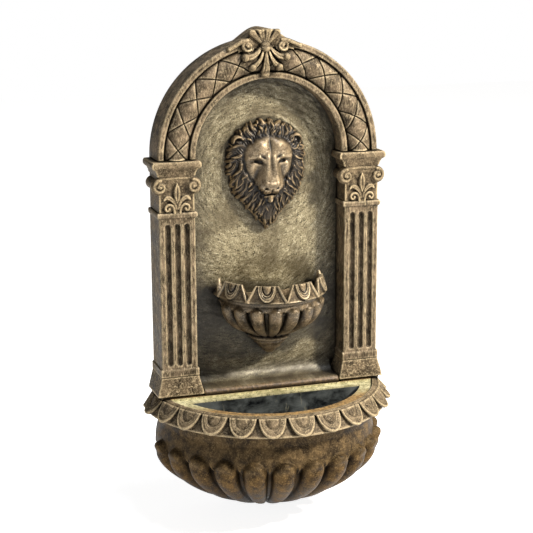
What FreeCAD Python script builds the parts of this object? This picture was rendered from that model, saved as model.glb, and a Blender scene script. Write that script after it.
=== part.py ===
import FreeCAD, Part
import math
import os

# Garden wall fountain, millimetres, +Z up, front towards -Y, wall plane at y = 0.
# The origin is on the wall plane, at the centre of the arch.

# Arch, seen from the front
arch_outer_r = 184.0
outer_band_w = 11.0
bulge_w = 39.5
inner_band_w = 11.0
casting_wall = 5.0
diamond_step_deg = 16.0
diamond_first_deg = 14.0
diamond_rows = 5
diamond_groove = 2.6
volute_r = 9.5
volute_eye_r = 4.2
volute_spread = 31.0
volute_out = 3.0
volute_groove_r = 1.1
volute_groove_gap = 1.4

# Depths, measured from the wall plane to each front face
cover_t = 2.0
cover_inset = 1.5
niche_depth = 23.0
panel_t = 5.0
arch_band_depth = 60.0
bulge_rise = 6.5
shaft_depth = 64.5
astragal_out = 2.5
cornice_out = 7.5
base_band_out = 2.2
plinth_out = 7.5

# Pilaster, seen from the front
shaft_w = 59.0
shaft_overhang = 1.0
shaft_h = 248.5
cornice_drop = 1.0
cornice_h = 12.5
cove_h = 11.5
capital_h = 57.0
astragal_h = 9.0
base_band_h = 12.5
plinth_h = 31.0
shadow_gap = 4.0
shadow_inset = 4.0
foot_plate = 8.0
cove_in = 5.5
flute_r = 4.4
flute_count = 3
flute_pitch = 15.5
flute_end_gap = 14.0
flute_wall = 3.0
shaft_round = 2.0
astragal_round = 3.0
band_round = 1.6
round_limit = 0.45
panel_lap_gap = 3.0
panel_clear = 20.0
cornice_side = 3.0
cornice_taper = 2.0
scroll_r = 13.0
scroll_drop = 14.0
scroll_side = 3.5
scroll_out = 2.0
scroll_groove_share = 0.62
scroll_groove_r = 1.5
scroll_eye_share = 0.36
leaf_t = 3.0
leaf_belly = 0.45
fleur_foot = 9.0
fleur_leaf_up = 13.0
fleur_leaf_len = 27.0
fleur_leaf_w = 12.5
side_leaf_x = 2.0
side_leaf_up = 7.0
side_leaf_len = 19.0
side_leaf_w = 8.5
side_leaf_lean = 52.0
curl_x = 9.5
curl_r = 7.0
curl_drop = 1.0
curl_wire_r = 2.2
curl_bead_r = 2.1
plinth_side = 2.0
plinth_front_in = 1.0
plinth_top_in = 0.6

# Keystone ornament
keystone_x = -6.0
hump_r = 50.0
hump_drop = 33.0
boss_drop = 12.0
boss_r = 6.0
fan_petals = 7
fan_spread_deg = 68.0
fan_reach = 22.0
fan_root_r = 3.0
fan_tip_r = 5.4
fan_tip_t = 15.0
lower_leaf_reach = 39.0
lower_leaf_root_r = 2.6
lower_leaf_tip_r = 5.2
boss_plate_r = 14.4
keystone_proud = 5.0
keystone_bed = 2.0
# Lean from straight down, and length as a share of the middle leaf
lower_leaves = [(0, 1.0), (38, 0.82), (-38, 0.82), (78, 0.8), (-78, 0.8)]
niche_edge_t = 4.0

# Sill at the foot of the niche
sill_cove_r = 22.0
sill_up = 3.0
sill_chamfer = 3.0
sill_clear = 60.0
hose_gap = 1.5

# Lion mask, offsets from the arch centre
mask_mid_z = -33.0
mask_half_w = 66.0
mask_half_h = 92.0
mask_depth = 48.0
mouth_z = -72.0
mask_pocket_r = 36.0
mask_pocket_depth = 15.0
mask_pocket_up = 4.0
mask_bolt_bite = 3.0
throat_gap = 1.0
nut_room_gap = 3.0
mask_bolt_x = 24.0
mask_bolt_up = 30.0
mask_border = 8.0
mask_block_t = 90.0
mask_columns = 57
mask_rows = 77
mane_depth = 27.0
mane_skirt = 6.0
lock_rise = 4.5
lock_count = 15.0
face_half_w = 41.0
face_half_h = 60.0
face_mid_z = -22.0
face_depth = 28.0
face_crown = 4.0
# Domes of one half of the face: sideways, height, half width, half height, rise
face_domes = [(19.0, 12.0, 17.0, 16.0, 9.0), (0.0, -34.0, 12.0, 34.0, 17.0), (12.0, -58.0, 14.0, 14.0, 8.0),
              (21.0, -9.5, 8.0, 5.0, -8.0), (0.0, 18.0, 3.0, 22.0, -4.0), (0.0, -73.0, 15.0, 5.5, -14.0),
              (0.0, -86.0, 11.0, 8.0, 8.0)]

# Upper bowl
bowl_x = 3.5
bowl_reach = 40.0
bowl_rim_top_z = -199.0
bowl_rim_h = 25.0
bowl_rim_r = 96.0
bowl_rim_slope = 8.0
bowl_wall = 6.0
bowl_body_r = 87.5
bowl_body_h = 66.0
bowl_gadroon_step = 21.0
bowl_gadroons = 8
bowl_notch_step = 40.0
bowl_notch_w = 30.0
bowl_notch_gap = 3.0
notch_count = 5
bowl_petal_w = 34.0
bowl_petal_rise = 2.2
bowl_foot_r = 32.0
bowl_foot_h = 7.0
bowl_foot_taper = 3.0
bowl_neck_gap = 8.0
bowl_lip_t = 2.5
bowl_bolt_x = 50.0
bowl_bolt_drop = 26.0
bowl_cut_reach = 80.0
# Drop below the crown, share of the body's radius, inset, and gadroon rise
bowl_skin = [(-4.0, 1.0, 3.0, 0.0), (3.0, 1.0, 4.0, 0.0), (9.0, 1.0, 5.0, 0.3), (14.0, 1.0, 5.0, 5.0),
             (26.0, 0.95, 5.0, 5.0), (42.0, 0.82, 5.0, 5.0), (58.0, 0.64, 5.0, 4.5), (74.0, 0.44, 2.5, 2.5)]
# Drop below the crown, share of the body's radius, and inset
bowl_inside = [(0.0, 1.0, 10.0), (26.0, 0.95, 11.0), (46.0, 0.70, 11.0), (56.0, 0.4, 0.0)]
finial_h = 27.0
finial_taper = 0.72
# Start, end and radius of each step of the finial, as shares of its height and of the foot's radius
finial_steps = [(0.0, 0.42, 0.75), (0.42, 0.72, 0.5), (0.72, 1.0, 0.3)]

# Basin
basin_axis = 21.0
basin_petal_r = 216.5
rim_slope_w = 29.5
rim_drop = 27.0
lip_round = 4.0
deck_t = 12.0
petal_count = 13
petal_w = 46.0
petal_len = 34.0
petal_rise = 3.0
petal_reach = 40.0
groove_outer = 0.72
groove_inner = 0.5
groove_floor = 0.35
petal_top_gap = 0.5
petal_skirt = 4.0
petal_over = 10.0
egg_shoulder = 0.82
egg_shoulder_drop = 0.6
neck_inset = 3.0
body_swell = 7.5
body_neck_h = 45.0
body_h = 141.5
body_waist = 3.0
body_levels = 12
body_flatness = 1.67
body_roundness = 1.19
shoulder_h = 22.0
body_wall = 6.0
body_gadroons = 12
body_gadroon_rise = 8.0
back_wall = 4.0

# Basin liner
liner_flange_w = 16.0
liner_flange_t = 2.0
liner_recess = 3.5
liner_wall = 2.5
liner_depth = 146.0
liner_taper = 36.0
liner_gap = 1.0
liner_edge_gap = 0.5
liner_lip_w = 7.0
bead_w = 5.0
bead_h = 3.0

# Hose and fittings
hose_r = 5.0
hose_bore_r = 3.5
hose_bend_r = 23.0
hose_bend_share = 0.9
barb_len = 10.0
tail_len = 9.0
seat_rise = 3.0
elbow_drop = 20.0
elbow_stem_out = 6.0
elbow_flange_t = 2.0
outlet_rise = 10.0
spout_share = 0.62
clamp_low = 5.0
clamp_high = 6.0
hose_entry_drop = 42.0
spout_bore_r = 2.4
clamp_t = 1.2
clamp_w = 6.0
lock_nut_r = 9.0
lock_nut_t = 5.0
grommet_lip = 2.5
cord_bore_r = 3.5
cord_gland_x = 62.0
cord_gland_drop = 60.0
gland_reach = 20.0
collar_out = 2.5
collar_t = 2.5
gland_collar_t = 3.0

# Pump
pump_w = 46.0
pump_h = 42.0
pump_motor_len = 40.0
pump_y = -104.5
foot_h = 7.0
foot_r = 7.5
foot_wall = 1.5
foot_neck_h = 2.0
foot_inset = 9.0
foot_plug_r = 2.5
foot_plug_h = 4.0
pump_round = 4.0
well_end_gap = 2.0
lead_x = 12.0
lead_up = 10.0
lead_reach = 8.0
volute_len = 13.0
chamber_r = 15.5
chamber_len = 9.0
rotor_r = 8.5
rotor_well_r = 8.9
rotor_len = 26.0
shaft_r = 1.5
shaft_fit = 0.05
bush_r = 3.2
bush_len = 3.0
bush_wall = 1.2
spider_t = 2.0
spider_half_w = 1.2
stub_root = 3.0
impeller_r = 13.5
impeller_len = 6.5
impeller_vanes = 6
vane_t = 1.2
impeller_disc_t = 1.6
hub_wall = 2.0
intake_r = 6.0
grille_len = 16.0
grille_wall = 2.0
grille_slots = 7
slot_w = 2.4
slot_edge = 4.0
slot_side = 5.0
slot_dial_gap = 2.0
sponge_gap = 3.5
dial_r = 8.0
dial_t = 3.0
dial_stem_r = 2.5
grip_inset = 1.0
grip_h = 3.0
grip_half_w = 1.2
stem_len = 1.5
tip_out = 0.8
tip_len = 2.0
part_gap = 0.4

# Fasteners
hanger_z = 34.0
hanger_inset = 26.0
hanger_w = 22.0
hanger_up = 24.0
hanger_down = 31.0
hanger_edge = 5.0
hanger_t = 1.5
key_entry_r = 6.0
key_slot_r = 3.0
key_drop = 14.0
key_reach = 8.0
key_gap = 1.5
rib_reach = 42.0
rib_half_h = 4.0
screw_r = 1.6
screw_head_r = 3.2
screw_len = 14.0
screw_tip_gap = 3.0
screw_post_gap = 1.0
recess_depth = 0.8
recess_half_w = 0.4
pan_head_t = 1.2
hanger_screw_grip = 9.0
pilaster_screw_top = 30.0
pilaster_screw_low = 20.0
boss_wall = 3.4
bolt_r = 2.5
bolt_gap = 0.3
bolt_tip_gap = 1.0
bolt_short = 2.0
mask_bolt_grip = 9.0
bolt_head_r = 4.6
bolt_head_t = 3.0
washer_r = 7.5
washer_t = 1.2
deck_bolt_y = -42.0

# Worked-out sizes
bulge_outer_r = arch_outer_r - outer_band_w
bulge_inner_r = bulge_outer_r - bulge_w
arch_inner_r = bulge_inner_r - inner_band_w
hump_z = arch_outer_r - hump_drop
boss_z = arch_outer_r - boss_drop
hanger_x = arch_outer_r - hanger_inset
pilaster_x = arch_outer_r + shaft_overhang - shaft_w / 2
cornice_top = -cornice_drop
cornice_bottom = cornice_top - cornice_h
block_top = cornice_bottom - cove_h
block_bottom = block_top - capital_h
astragal_bottom = block_bottom - astragal_h
shaft_bottom = astragal_bottom - shaft_h
band_bottom = shaft_bottom - base_band_h
plinth_bottom = band_bottom - plinth_h
deck_top = plinth_bottom - shadow_gap
deck_bottom = deck_top - deck_t
ledge_z = deck_top - liner_recess - liner_flange_t
rim_bottom = deck_top - rim_drop - liner_recess
basin_y = -basin_axis
basin_lip_r = basin_petal_r - rim_slope_w
body_neck_r = basin_lip_r - neck_inset
body_r = body_neck_r + body_swell
bowl_y = -bowl_reach
niche_y = -niche_depth
panel_back = niche_y + panel_t
opening_back = -(shaft_depth + base_band_out)
liner_r = basin_lip_r - liner_lip_w
tub_r = liner_r - liner_flange_w
tub_back = opening_back - liner_flange_w
floor_top = ledge_z - liner_depth + liner_wall
hose_y = (panel_back - cover_t) / 2
hose_entry_z = deck_top - hose_entry_drop
pump_bottom = floor_top + foot_h
pump_mid_z = pump_bottom + pump_h / 2
motor_front = pump_y
volute_front = motor_front - volute_len
grille_front = volute_front - grille_len
MARGIN = 1.0
FAR = 600.0
TINY = 0.01


def vec(x, y, z):
    return FreeCAD.Vector(x, y, z)


def box(x0, x1, y0, y1, z0, z1):
    return Part.makeBox(x1 - x0, y1 - y0, z1 - z0, vec(x0, y0, z0))


def rod(r, start, end):
    axis = end - start
    return Part.makeCylinder(r, axis.Length, start, axis)


def tube(r_out, r_in, start, end):
    return rod(r_out, start, end).cut(rod(r_in, start, end))


def capsule(r0, start, r1, end):
    """A rounded bar that tapers from one ball to another."""
    axis = end - start
    ball0 = Part.makeSphere(r0, start)
    ball1 = Part.makeSphere(r1, end)
    if abs(r0 - r1) < TINY:
        bar = Part.makeCylinder(r0, axis.Length, start, axis)
    else:
        bar = Part.makeCone(r0, r1, axis.Length, start, axis)
    return bar.multiFuse([ball0, ball1])


def polygon(points):
    return Part.makePolygon(points + [points[0]])


def prism(points, push):
    return Part.Face(polygon(points)).extrude(push)


def mirror_x(shape):
    return shape.mirror(vec(0, 0, 0), vec(1, 0, 0))


def turn(shape, degrees, centre_x, centre_y):
    """The shape turned about a vertical axis, positive towards +X at the front."""
    copy = shape.copy()
    copy.rotate(vec(centre_x, centre_y, 0), vec(0, 0, 1), degrees)
    return copy


def save(shape, name):
    if shape.ShapeType == "Compound" and len(shape.Solids) == 1:
        shape = shape.Solids[0]
    shape.exportStep("parts/" + name + ".step")
    print(name, len(shape.Solids), round(shape.Volume / 1000.0, 2), shape.isValid())


# Arch

def arch_profile(shrink):
    """Half-section of the arch band in radius and depth, drawn in from its skin."""
    outer = arch_outer_r - shrink
    inner = arch_inner_r + shrink
    flat = arch_band_depth - shrink
    crown = arch_band_depth + bulge_rise - shrink
    start = bulge_outer_r - shrink / 2
    end = bulge_inner_r + shrink / 2
    middle = (start + end) / 2
    back = -cover_t if shrink == 0 else MARGIN
    inner_back = niche_y if shrink == 0 else MARGIN
    a = vec(outer, back, 0)
    b = vec(outer, -flat, 0)
    c = vec(start, -flat, 0)
    d = vec(middle, -crown, 0)
    e = vec(end, -flat, 0)
    f = vec(inner, -flat, 0)
    g = vec(inner, inner_back, 0)
    edges = [Part.makeLine(a, b), Part.makeLine(b, c), Part.Arc(c, d, e).toShape()]
    edges += [Part.makeLine(e, f), Part.makeLine(f, g)]
    if inner_back != back:
        h = vec(arch_inner_r + casting_wall, niche_y, 0)
        k = vec(arch_inner_r + casting_wall, back, 0)
        edges += [Part.makeLine(g, h), Part.makeLine(h, k), Part.makeLine(k, a)]
    else:
        edges += [Part.makeLine(g, a)]
    return Part.Face(Part.Wire(edges))


def diamond_grooves():
    """Crossing V grooves over the bulge, in both leans."""
    grooves = []
    for row in range(diamond_rows):
        start = math.radians(diamond_first_deg + row * diamond_step_deg)
        for lean in (-diamond_step_deg, diamond_step_deg):
            end = start + math.radians(lean)
            p = vec(bulge_outer_r * math.cos(start), 0, bulge_outer_r * math.sin(start))
            q = vec(bulge_inner_r * math.cos(end), 0, bulge_inner_r * math.sin(end))
            if q.z < 0 or q.x < 0:
                continue
            along = q - p
            side = along.cross(vec(0, 1, 0)).normalize() * (diamond_groove / 2)
            keel = vec(0, -arch_band_depth - 2.0, 0)
            mouth = vec(0, -arch_band_depth - 2 * bulge_rise, 0)
            spread = side * 4
            wedge = prism([p + keel, p + mouth + spread, p + mouth - spread], along)
            grooves.append(wedge)
            grooves.append(mirror_x(wedge))
    return grooves


def cover_bosses(places, front):
    """Round posts from the cover to the casting's front wall, for the cover screws."""
    posts = []
    for x, z in places:
        posts.append(rod(screw_r + boss_wall, vec(x, -cover_t, z), vec(x, -front, z)))
    return posts


def pilot_holes(places):
    holes = []
    for x, z in places:
        holes.append(rod(screw_r, vec(x, 0, z), vec(x, -screw_len, z)))
    return holes


def arch_screw_places():
    middle = (bulge_outer_r + bulge_inner_r) / 2
    places = []
    for degrees in (45.0, 90.0, 135.0):
        angle = math.radians(degrees)
        places.append((middle * math.cos(angle), middle * math.sin(angle)))
    return places


def pilaster_screw_places(side):
    top = astragal_bottom - pilaster_screw_top
    bottom = shaft_bottom + pilaster_screw_low
    return [(side * pilaster_x, top), (side * pilaster_x, bottom)]


def volute(x, z):
    front = -arch_band_depth - bulge_rise - volute_out
    disc = rod(volute_r, vec(x, -arch_band_depth, z), vec(x, front, z))
    eye = Part.makeSphere(volute_eye_r, vec(x, front, z))
    groove = Part.makeTorus(volute_eye_r + volute_groove_gap, volute_groove_r, vec(x, front, z), vec(0, 1, 0))
    return disc.cut(groove).fuse(eye)


def make_arch_frame():
    skin = arch_profile(0).revolve(vec(0, 0, 0), vec(0, 1, 0), -180)
    core = arch_profile(casting_wall).revolve(vec(0, 0, 0), vec(0, 1, 0), -180)
    shell = skin.cut(core)
    shell = shell.cut(Part.makeCompound(diamond_grooves()))
    posts = []
    posts += cover_bosses(arch_screw_places(), arch_band_depth + bulge_rise - casting_wall / 2)
    for x in (-volute_spread, volute_spread):
        posts.append(volute(x + keystone_x, boss_z))
    shell = shell.multiFuse(posts)
    hanger_pads = []
    for side in (-1, 1):
        pad = hanger_pad(side).common(skin)
        hanger_pads.append(pad)
    shell = shell.multiFuse(hanger_pads)
    return shell.cut(Part.makeCompound(pilot_holes(arch_screw_places()) + hanger_holes()))


# Hangers

def hanger_front():
    return -cover_t - hanger_t


def hanger_screw_places(side):
    x = side * hanger_x
    return [(x, hanger_z + hanger_up - hanger_edge), (x, hanger_z - hanger_down + hanger_edge)]


def hanger_pad(side):
    """Two cross ribs behind the arch that the hanger plate is screwed to."""
    front = hanger_front() - screw_len
    ribs = []
    for x, z in hanger_screw_places(side):
        ribs.append(box(x - rib_reach, x + rib_reach, front, hanger_front(), z - rib_half_h, z + rib_half_h))
    return ribs[0].fuse(ribs[1])


def hanger_holes():
    holes = []
    for side in (-1, 1):
        for x, z in hanger_screw_places(side):
            holes.append(rod(screw_r, vec(x, 0, z), vec(x, hanger_front() - screw_len + screw_tip_gap, z)))
    return holes


def keyhole(side, grow):
    x = side * hanger_x
    low = hanger_z - key_drop
    entry = rod(key_entry_r + grow, vec(x, MARGIN, low), vec(x, -key_reach, low))
    top = rod(key_slot_r + grow, vec(x, MARGIN, hanger_z), vec(x, -key_reach, hanger_z))
    slot_half = key_slot_r + grow
    slot = box(x - slot_half, x + slot_half, -key_reach, MARGIN, low, hanger_z)
    return entry.multiFuse([top, slot])


def make_hanger_plates():
    plates = []
    for side in (-1, 1):
        x = side * hanger_x
        half = hanger_w / 2
        plate = box(x - half, x + half, hanger_front(), -cover_t,
                    hanger_z - hanger_down, hanger_z + hanger_up)
        plate = plate.cut(keyhole(side, 0))
        for px, pz in hanger_screw_places(side):
            plate = plate.cut(rod(screw_r, vec(px, MARGIN, pz), vec(px, -key_reach, pz)))
        plates.append(plate)
    return Part.makeCompound(plates)


def cross_screw(x, head_y, z, length):
    """A countersunk screw whose flat head ends at head_y."""
    head_t = screw_head_r - screw_r
    head = Part.makeCone(screw_head_r, screw_r, head_t, vec(x, head_y, z), vec(0, -1, 0))
    shank = rod(screw_r, vec(x, head_y - head_t, z), vec(x, head_y - length, z))
    recess = box(x - screw_head_r / 2, x + screw_head_r / 2, head_y - recess_depth, head_y,
                 z - recess_half_w, z + recess_half_w)
    return head.fuse(shank).cut(recess)


def make_hanger_screws():
    screws = []
    for side in (-1, 1):
        for x, z in hanger_screw_places(side):
            head = rod(screw_head_r, vec(x, -cover_t + pan_head_t, z), vec(x, -cover_t, z))
            shank = rod(screw_r, vec(x, -cover_t, z), vec(x, hanger_front() - hanger_screw_grip, z))
            screws.append(head.fuse(shank))
    return Part.makeCompound(screws)


# Pilasters

def flute(x, z0, z1):
    bar = rod(flute_r, vec(x, -shaft_depth, z0), vec(x, -shaft_depth, z1))
    low = Part.makeSphere(flute_r, vec(x, -shaft_depth, z0))
    high = Part.makeSphere(flute_r, vec(x, -shaft_depth, z1))
    return bar.multiFuse([low, high])


def make_pilaster(side):
    """Shaft with stopped flutes, the astragal above it and the base band below."""
    x = side * pilaster_x
    half = shaft_w / 2
    inside = shaft_w / 2 - casting_wall
    shaft = box(x - half, x + half, -shaft_depth, -cover_t, shaft_bottom, astragal_bottom)
    corners = [e for e in shaft.Edges if is_front_upright(e, shaft_depth)]
    shaft = shaft.makeFillet(shaft_round, corners)
    out = astragal_out
    astragal = box(x - half - out, x + half + out, -shaft_depth - out, -cover_t,
                   astragal_bottom, block_bottom)
    astragal = round_front(astragal, astragal_round)
    out = base_band_out
    band = box(x - half - out, x + half + out, -shaft_depth - out, -cover_t, band_bottom, shaft_bottom)
    band = round_front(band, band_round)
    body = shaft.multiFuse([astragal, band])
    hollow = box(x - inside, x + inside, -shaft_depth + flute_r + flute_wall, MARGIN,
                 band_bottom + casting_wall, block_bottom - casting_wall)
    body = body.cut(hollow)
    flute_low = shaft_bottom + flute_end_gap - flute_r
    flute_high = astragal_bottom - flute_end_gap
    cuts = []
    for i in range(flute_count):
        offset = (i - (flute_count - 1) / 2) * flute_pitch
        cuts.append(flute(x + offset, flute_low, flute_high))
    body = body.cut(Part.makeCompound(cuts))
    body = body.multiFuse(cover_bosses(pilaster_screw_places(side), shaft_depth - flute_r - screw_post_gap))
    body = body.cut(Part.makeCompound(pilot_holes(pilaster_screw_places(side)) + [niche_clear(side)]))
    return body


def niche_clear(side):
    """Room behind the inner wall for the edge of the niche panel."""
    inner = side * (pilaster_x - shaft_w / 2)
    ends = sorted([inner - side * panel_clear, inner + side * panel_lap()])
    return box(ends[0], ends[1], niche_y, MARGIN, deck_top - FAR, FAR)


def panel_lap():
    return casting_wall + panel_lap_gap


def is_front_upright(edge, depth):
    if len(edge.Vertexes) != 2:
        return False
    a = edge.Vertexes[0].Point
    b = edge.Vertexes[1].Point
    return abs(a.z - b.z) > 1.0 and abs(a.y + depth) < TINY and abs(b.y + depth) < TINY


def round_front(shape, radius):
    front = min(v.Y for v in shape.Vertexes)
    edges = []
    for edge in shape.Edges:
        points = [v.Point for v in edge.Vertexes]
        if len(points) == 2 and all(abs(p.y - front) < TINY for p in points):
            edges.append(edge)
    return shape.makeFillet(min(radius, shape.BoundBox.ZLength * round_limit), edges)


def tapered_block(x, z0, half0, depth0, z1, half1, depth1):
    lower = polygon([vec(x - half0, -depth0, z0), vec(x + half0, -depth0, z0), vec(x + half0, -cover_t, z0),
                     vec(x - half0, -cover_t, z0)])
    upper = polygon([vec(x - half1, -depth1, z1), vec(x + half1, -depth1, z1), vec(x + half1, -cover_t, z1),
                     vec(x - half1, -cover_t, z1)])
    return Part.makeLoft([lower, upper], True, True)


def scroll(x, z):
    """A capital's roll: a bolster running back to the wall with a coiled front."""
    front = -shaft_depth - scroll_out
    bolster = rod(scroll_r, vec(x, -cover_t, z), vec(x, front, z))
    groove = Part.makeTorus(scroll_r * scroll_groove_share, scroll_groove_r, vec(x, front, z), vec(0, 1, 0))
    eye = Part.makeSphere(scroll_r * scroll_eye_share, vec(x, front, z))
    return bolster.cut(groove).fuse(eye)


def leaf(x, z, length, width, lean_deg, front):
    """A pointed leaf standing off the capital's face, drawn with two arcs."""
    tip = vec(0, 0, length)
    root = vec(0, 0, 0)
    right = Part.Arc(root, vec(width / 2, 0, length * leaf_belly), tip).toShape()
    left = Part.Arc(tip, vec(-width / 2, 0, length * leaf_belly), root).toShape()
    blade = Part.Face(Part.Wire([right, left])).extrude(vec(0, -leaf_t, 0))
    blade.rotate(vec(0, 0, 0), vec(0, 1, 0), lean_deg)
    blade.translate(vec(x, front, z))
    return blade


def curl(x, z, radius, front):
    """A small curled tip: a ring round a bead."""
    ring = Part.makeTorus(radius - curl_wire_r, curl_wire_r, vec(x, front - 1.0, z), vec(0, 1, 0))
    return ring.fuse(Part.makeSphere(curl_bead_r, vec(x, front - 1.0, z)))


def fleur(x, front):
    foot = block_bottom + fleur_foot
    pieces = [leaf(x, foot + fleur_leaf_up, fleur_leaf_len, fleur_leaf_w, 0, front)]
    for side in (-1, 1):
        pieces.append(leaf(x + side * side_leaf_x, foot + side_leaf_up, side_leaf_len, side_leaf_w,
                           side * side_leaf_lean, front))
        pieces.append(curl(x + side * curl_x, foot - curl_drop, curl_r, front))
    return pieces


def make_capital(side):
    """Cornice slab, cove, scrolls and leaf block above a pilaster."""
    x = side * pilaster_x
    half = shaft_w / 2
    cornice_half = half + cornice_out + cornice_side
    depth = shaft_depth + cornice_out
    slab = tapered_block(x, cornice_bottom, cornice_half - cornice_taper, depth,
                         cornice_top, cornice_half, depth)
    neck = tapered_block(x, block_top, cornice_half - cove_in * 2, depth - cove_in * 1.5, cornice_bottom,
                         cornice_half - cove_in, depth - cove_in)
    block = box(x - half, x + half, -shaft_depth, -cover_t, block_bottom, block_top)
    scroll_z = block_top - scroll_drop
    spread = half - scroll_r + scroll_side
    scrolls = [scroll(x - spread, scroll_z), scroll(x + spread, scroll_z)]
    body = slab.multiFuse([neck, block] + scrolls + fleur(x, -shaft_depth))
    inside = half - casting_wall
    hollow = box(x - inside, x + inside, -shaft_depth + casting_wall, MARGIN, block_bottom + casting_wall,
                 cornice_top - casting_wall)
    return body.cut(hollow).cut(niche_clear(side))


def make_plinth(side):
    """Flared block under the pilaster, standing on a set-back foot."""
    x = side * pilaster_x
    half = shaft_w / 2 + base_band_out - plinth_top_in
    depth = shaft_depth + base_band_out - plinth_top_in
    flare = tapered_block(x, plinth_bottom, shaft_w / 2 + plinth_out + plinth_side,
                          shaft_depth + plinth_out - plinth_front_in, band_bottom, half, depth)
    foot_half = shaft_w / 2 + plinth_out - shadow_inset
    foot = box(x - foot_half, x + foot_half, -shaft_depth - plinth_out + shadow_inset, -cover_t, deck_top,
               plinth_bottom)
    inside = shaft_w / 2 - casting_wall
    hollow = box(x - inside, x + inside, -shaft_depth + casting_wall, MARGIN, deck_top + foot_plate,
                 band_bottom - casting_wall)
    body = flare.fuse(foot).cut(hollow).cut(niche_clear(side))
    hole_top = deck_top + foot_plate - bolt_tip_gap
    hole = rod(bolt_r, vec(x, deck_bolt_y, deck_top - MARGIN), vec(x, deck_bolt_y, hole_top))
    return body.cut(hole)


# Keystone ornament

def make_keystone(arch):
    """Palmette over the crown: hump behind, fan above, leaves below, boss in the middle."""
    front = -arch_band_depth - bulge_rise
    x = keystone_x
    hump = rod(hump_r, vec(x, -cover_t, hump_z), vec(x, -arch_band_depth + 1.0, hump_z))
    hump = hump.cut(rod(arch_outer_r, vec(0, MARGIN, 0), vec(0, -FAR, 0)))
    plate_back = front + keystone_bed
    plate = rod(boss_plate_r, vec(x, plate_back, boss_z), vec(x, plate_back - keystone_proud, boss_z))
    centre = vec(x, front - keystone_proud, boss_z)
    pieces = [plate, Part.makeSphere(boss_r, centre)]
    for i in range(fan_petals):
        angle = math.radians(fan_spread_deg * (2 * i / (fan_petals - 1) - 1))
        away = vec(math.sin(angle), 0, math.cos(angle))
        start = vec(x, front - 1.0, boss_z) + away * boss_r
        end = vec(x, front, boss_z) + away * fan_reach
        pieces.append(capsule(fan_root_r, start, fan_tip_r, end))
        pieces.append(rod(fan_tip_r, end, vec(end.x, -fan_tip_t, end.z)))
    for degrees, share in lower_leaves:
        angle = math.radians(degrees)
        away = vec(math.sin(angle), 0, -math.cos(angle))
        start = vec(x, front - 1.0, boss_z) + away * boss_r
        end = vec(x, front, boss_z) + away * lower_leaf_reach * share
        pieces.append(capsule(lower_leaf_root_r, start, lower_leaf_tip_r, end))
    body = hump.multiFuse(pieces)
    hollow_fill = arch_profile(0).revolve(vec(0, 0, 0), vec(0, 1, 0), -180)
    body = body.cut(hollow_fill).cut(arch)
    niche_side = rod(arch_inner_r, vec(0, 0, 0), vec(0, -arch_band_depth + niche_edge_t, 0))
    body = body.cut(niche_side)
    solids = sorted(body.Solids, key=lambda s: s.Volume)
    return solids[-1]


# Niche panel with its cove and sill

def panel_outline(half_w, bottom):
    left = vec(-half_w, 0, 0)
    right = vec(half_w, 0, 0)
    arc = Part.Arc(right, vec(0, 0, half_w), left).toShape()
    edges = [arc, Part.makeLine(left, vec(-half_w, 0, bottom))]
    edges += [Part.makeLine(vec(-half_w, 0, bottom), vec(half_w, 0, bottom))]
    edges += [Part.makeLine(vec(half_w, 0, bottom), right)]
    return Part.Face(Part.Wire(edges))


def make_niche_panel():
    """Recessed back sheet of the niche, swept forward at the foot into a sill."""
    half = arch_inner_r + panel_lap() - part_gap
    sheet = panel_outline(half, deck_top).extrude(vec(0, panel_t, 0))
    sheet.translate(vec(0, niche_y, 0))
    sill_half = pilaster_x - shaft_w / 2 - plinth_out - plinth_side - part_gap
    front = opening_back
    sill_top = plinth_bottom + sill_up
    a = vec(-sill_half, niche_y + MARGIN, deck_top)
    b = vec(-sill_half, front, deck_top)
    c = vec(-sill_half, front, sill_top - sill_chamfer)
    d = vec(-sill_half, front + sill_chamfer, sill_top)
    e = vec(-sill_half, niche_y - sill_cove_r, sill_top)
    f = vec(-sill_half, niche_y, sill_top + sill_cove_r)
    g = vec(-sill_half, niche_y + MARGIN, sill_top + sill_cove_r)
    swing = sill_cove_r * (1 - math.sqrt(0.5))
    middle = vec(-sill_half, niche_y - swing, sill_top + swing)
    edges = [Part.makeLine(a, b), Part.makeLine(b, c), Part.makeLine(c, d), Part.makeLine(d, e)]
    edges += [Part.Arc(e, middle, f).toShape(), Part.makeLine(f, g), Part.makeLine(g, a)]
    sill = Part.Face(Part.Wire(edges)).extrude(vec(2 * sill_half, 0, 0))
    body = sheet.fuse(sill)
    holes = [rod(hose_r + hose_gap, vec(0, FAR, mouth_z), vec(0, -FAR, mouth_z))]
    for x, z in mask_bolt_places() + bowl_bolt_places():
        holes.append(rod(bolt_r + bolt_gap, vec(x, FAR, z), vec(x, -sill_clear, z)))
    return body.cut(Part.makeCompound(holes))


# Lion mask

def bump(x, z, cx, cz, rx, rz, height):
    """A smooth dome over an ellipse."""
    d = ((x - cx) / rx) ** 2 + ((z - cz) / rz) ** 2
    return height * math.exp(-d * 1.6)


def mask_outline(angle):
    """Radius factor of the mane's edge: wide at the cheeks, drawn to a beard below."""
    down = max(0.0, -math.sin(angle))
    narrow = 1.0 - 0.20 * down ** 1.5 * abs(math.cos(angle)) * 2.0
    return narrow


def lock_wave(angle, reach):
    """Locks of the mane: ridges that fan out from the face and curl as they go."""
    bend = 0.9 * math.sin(reach * 5.0)
    return abs(math.sin(lock_count * angle + bend))


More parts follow.
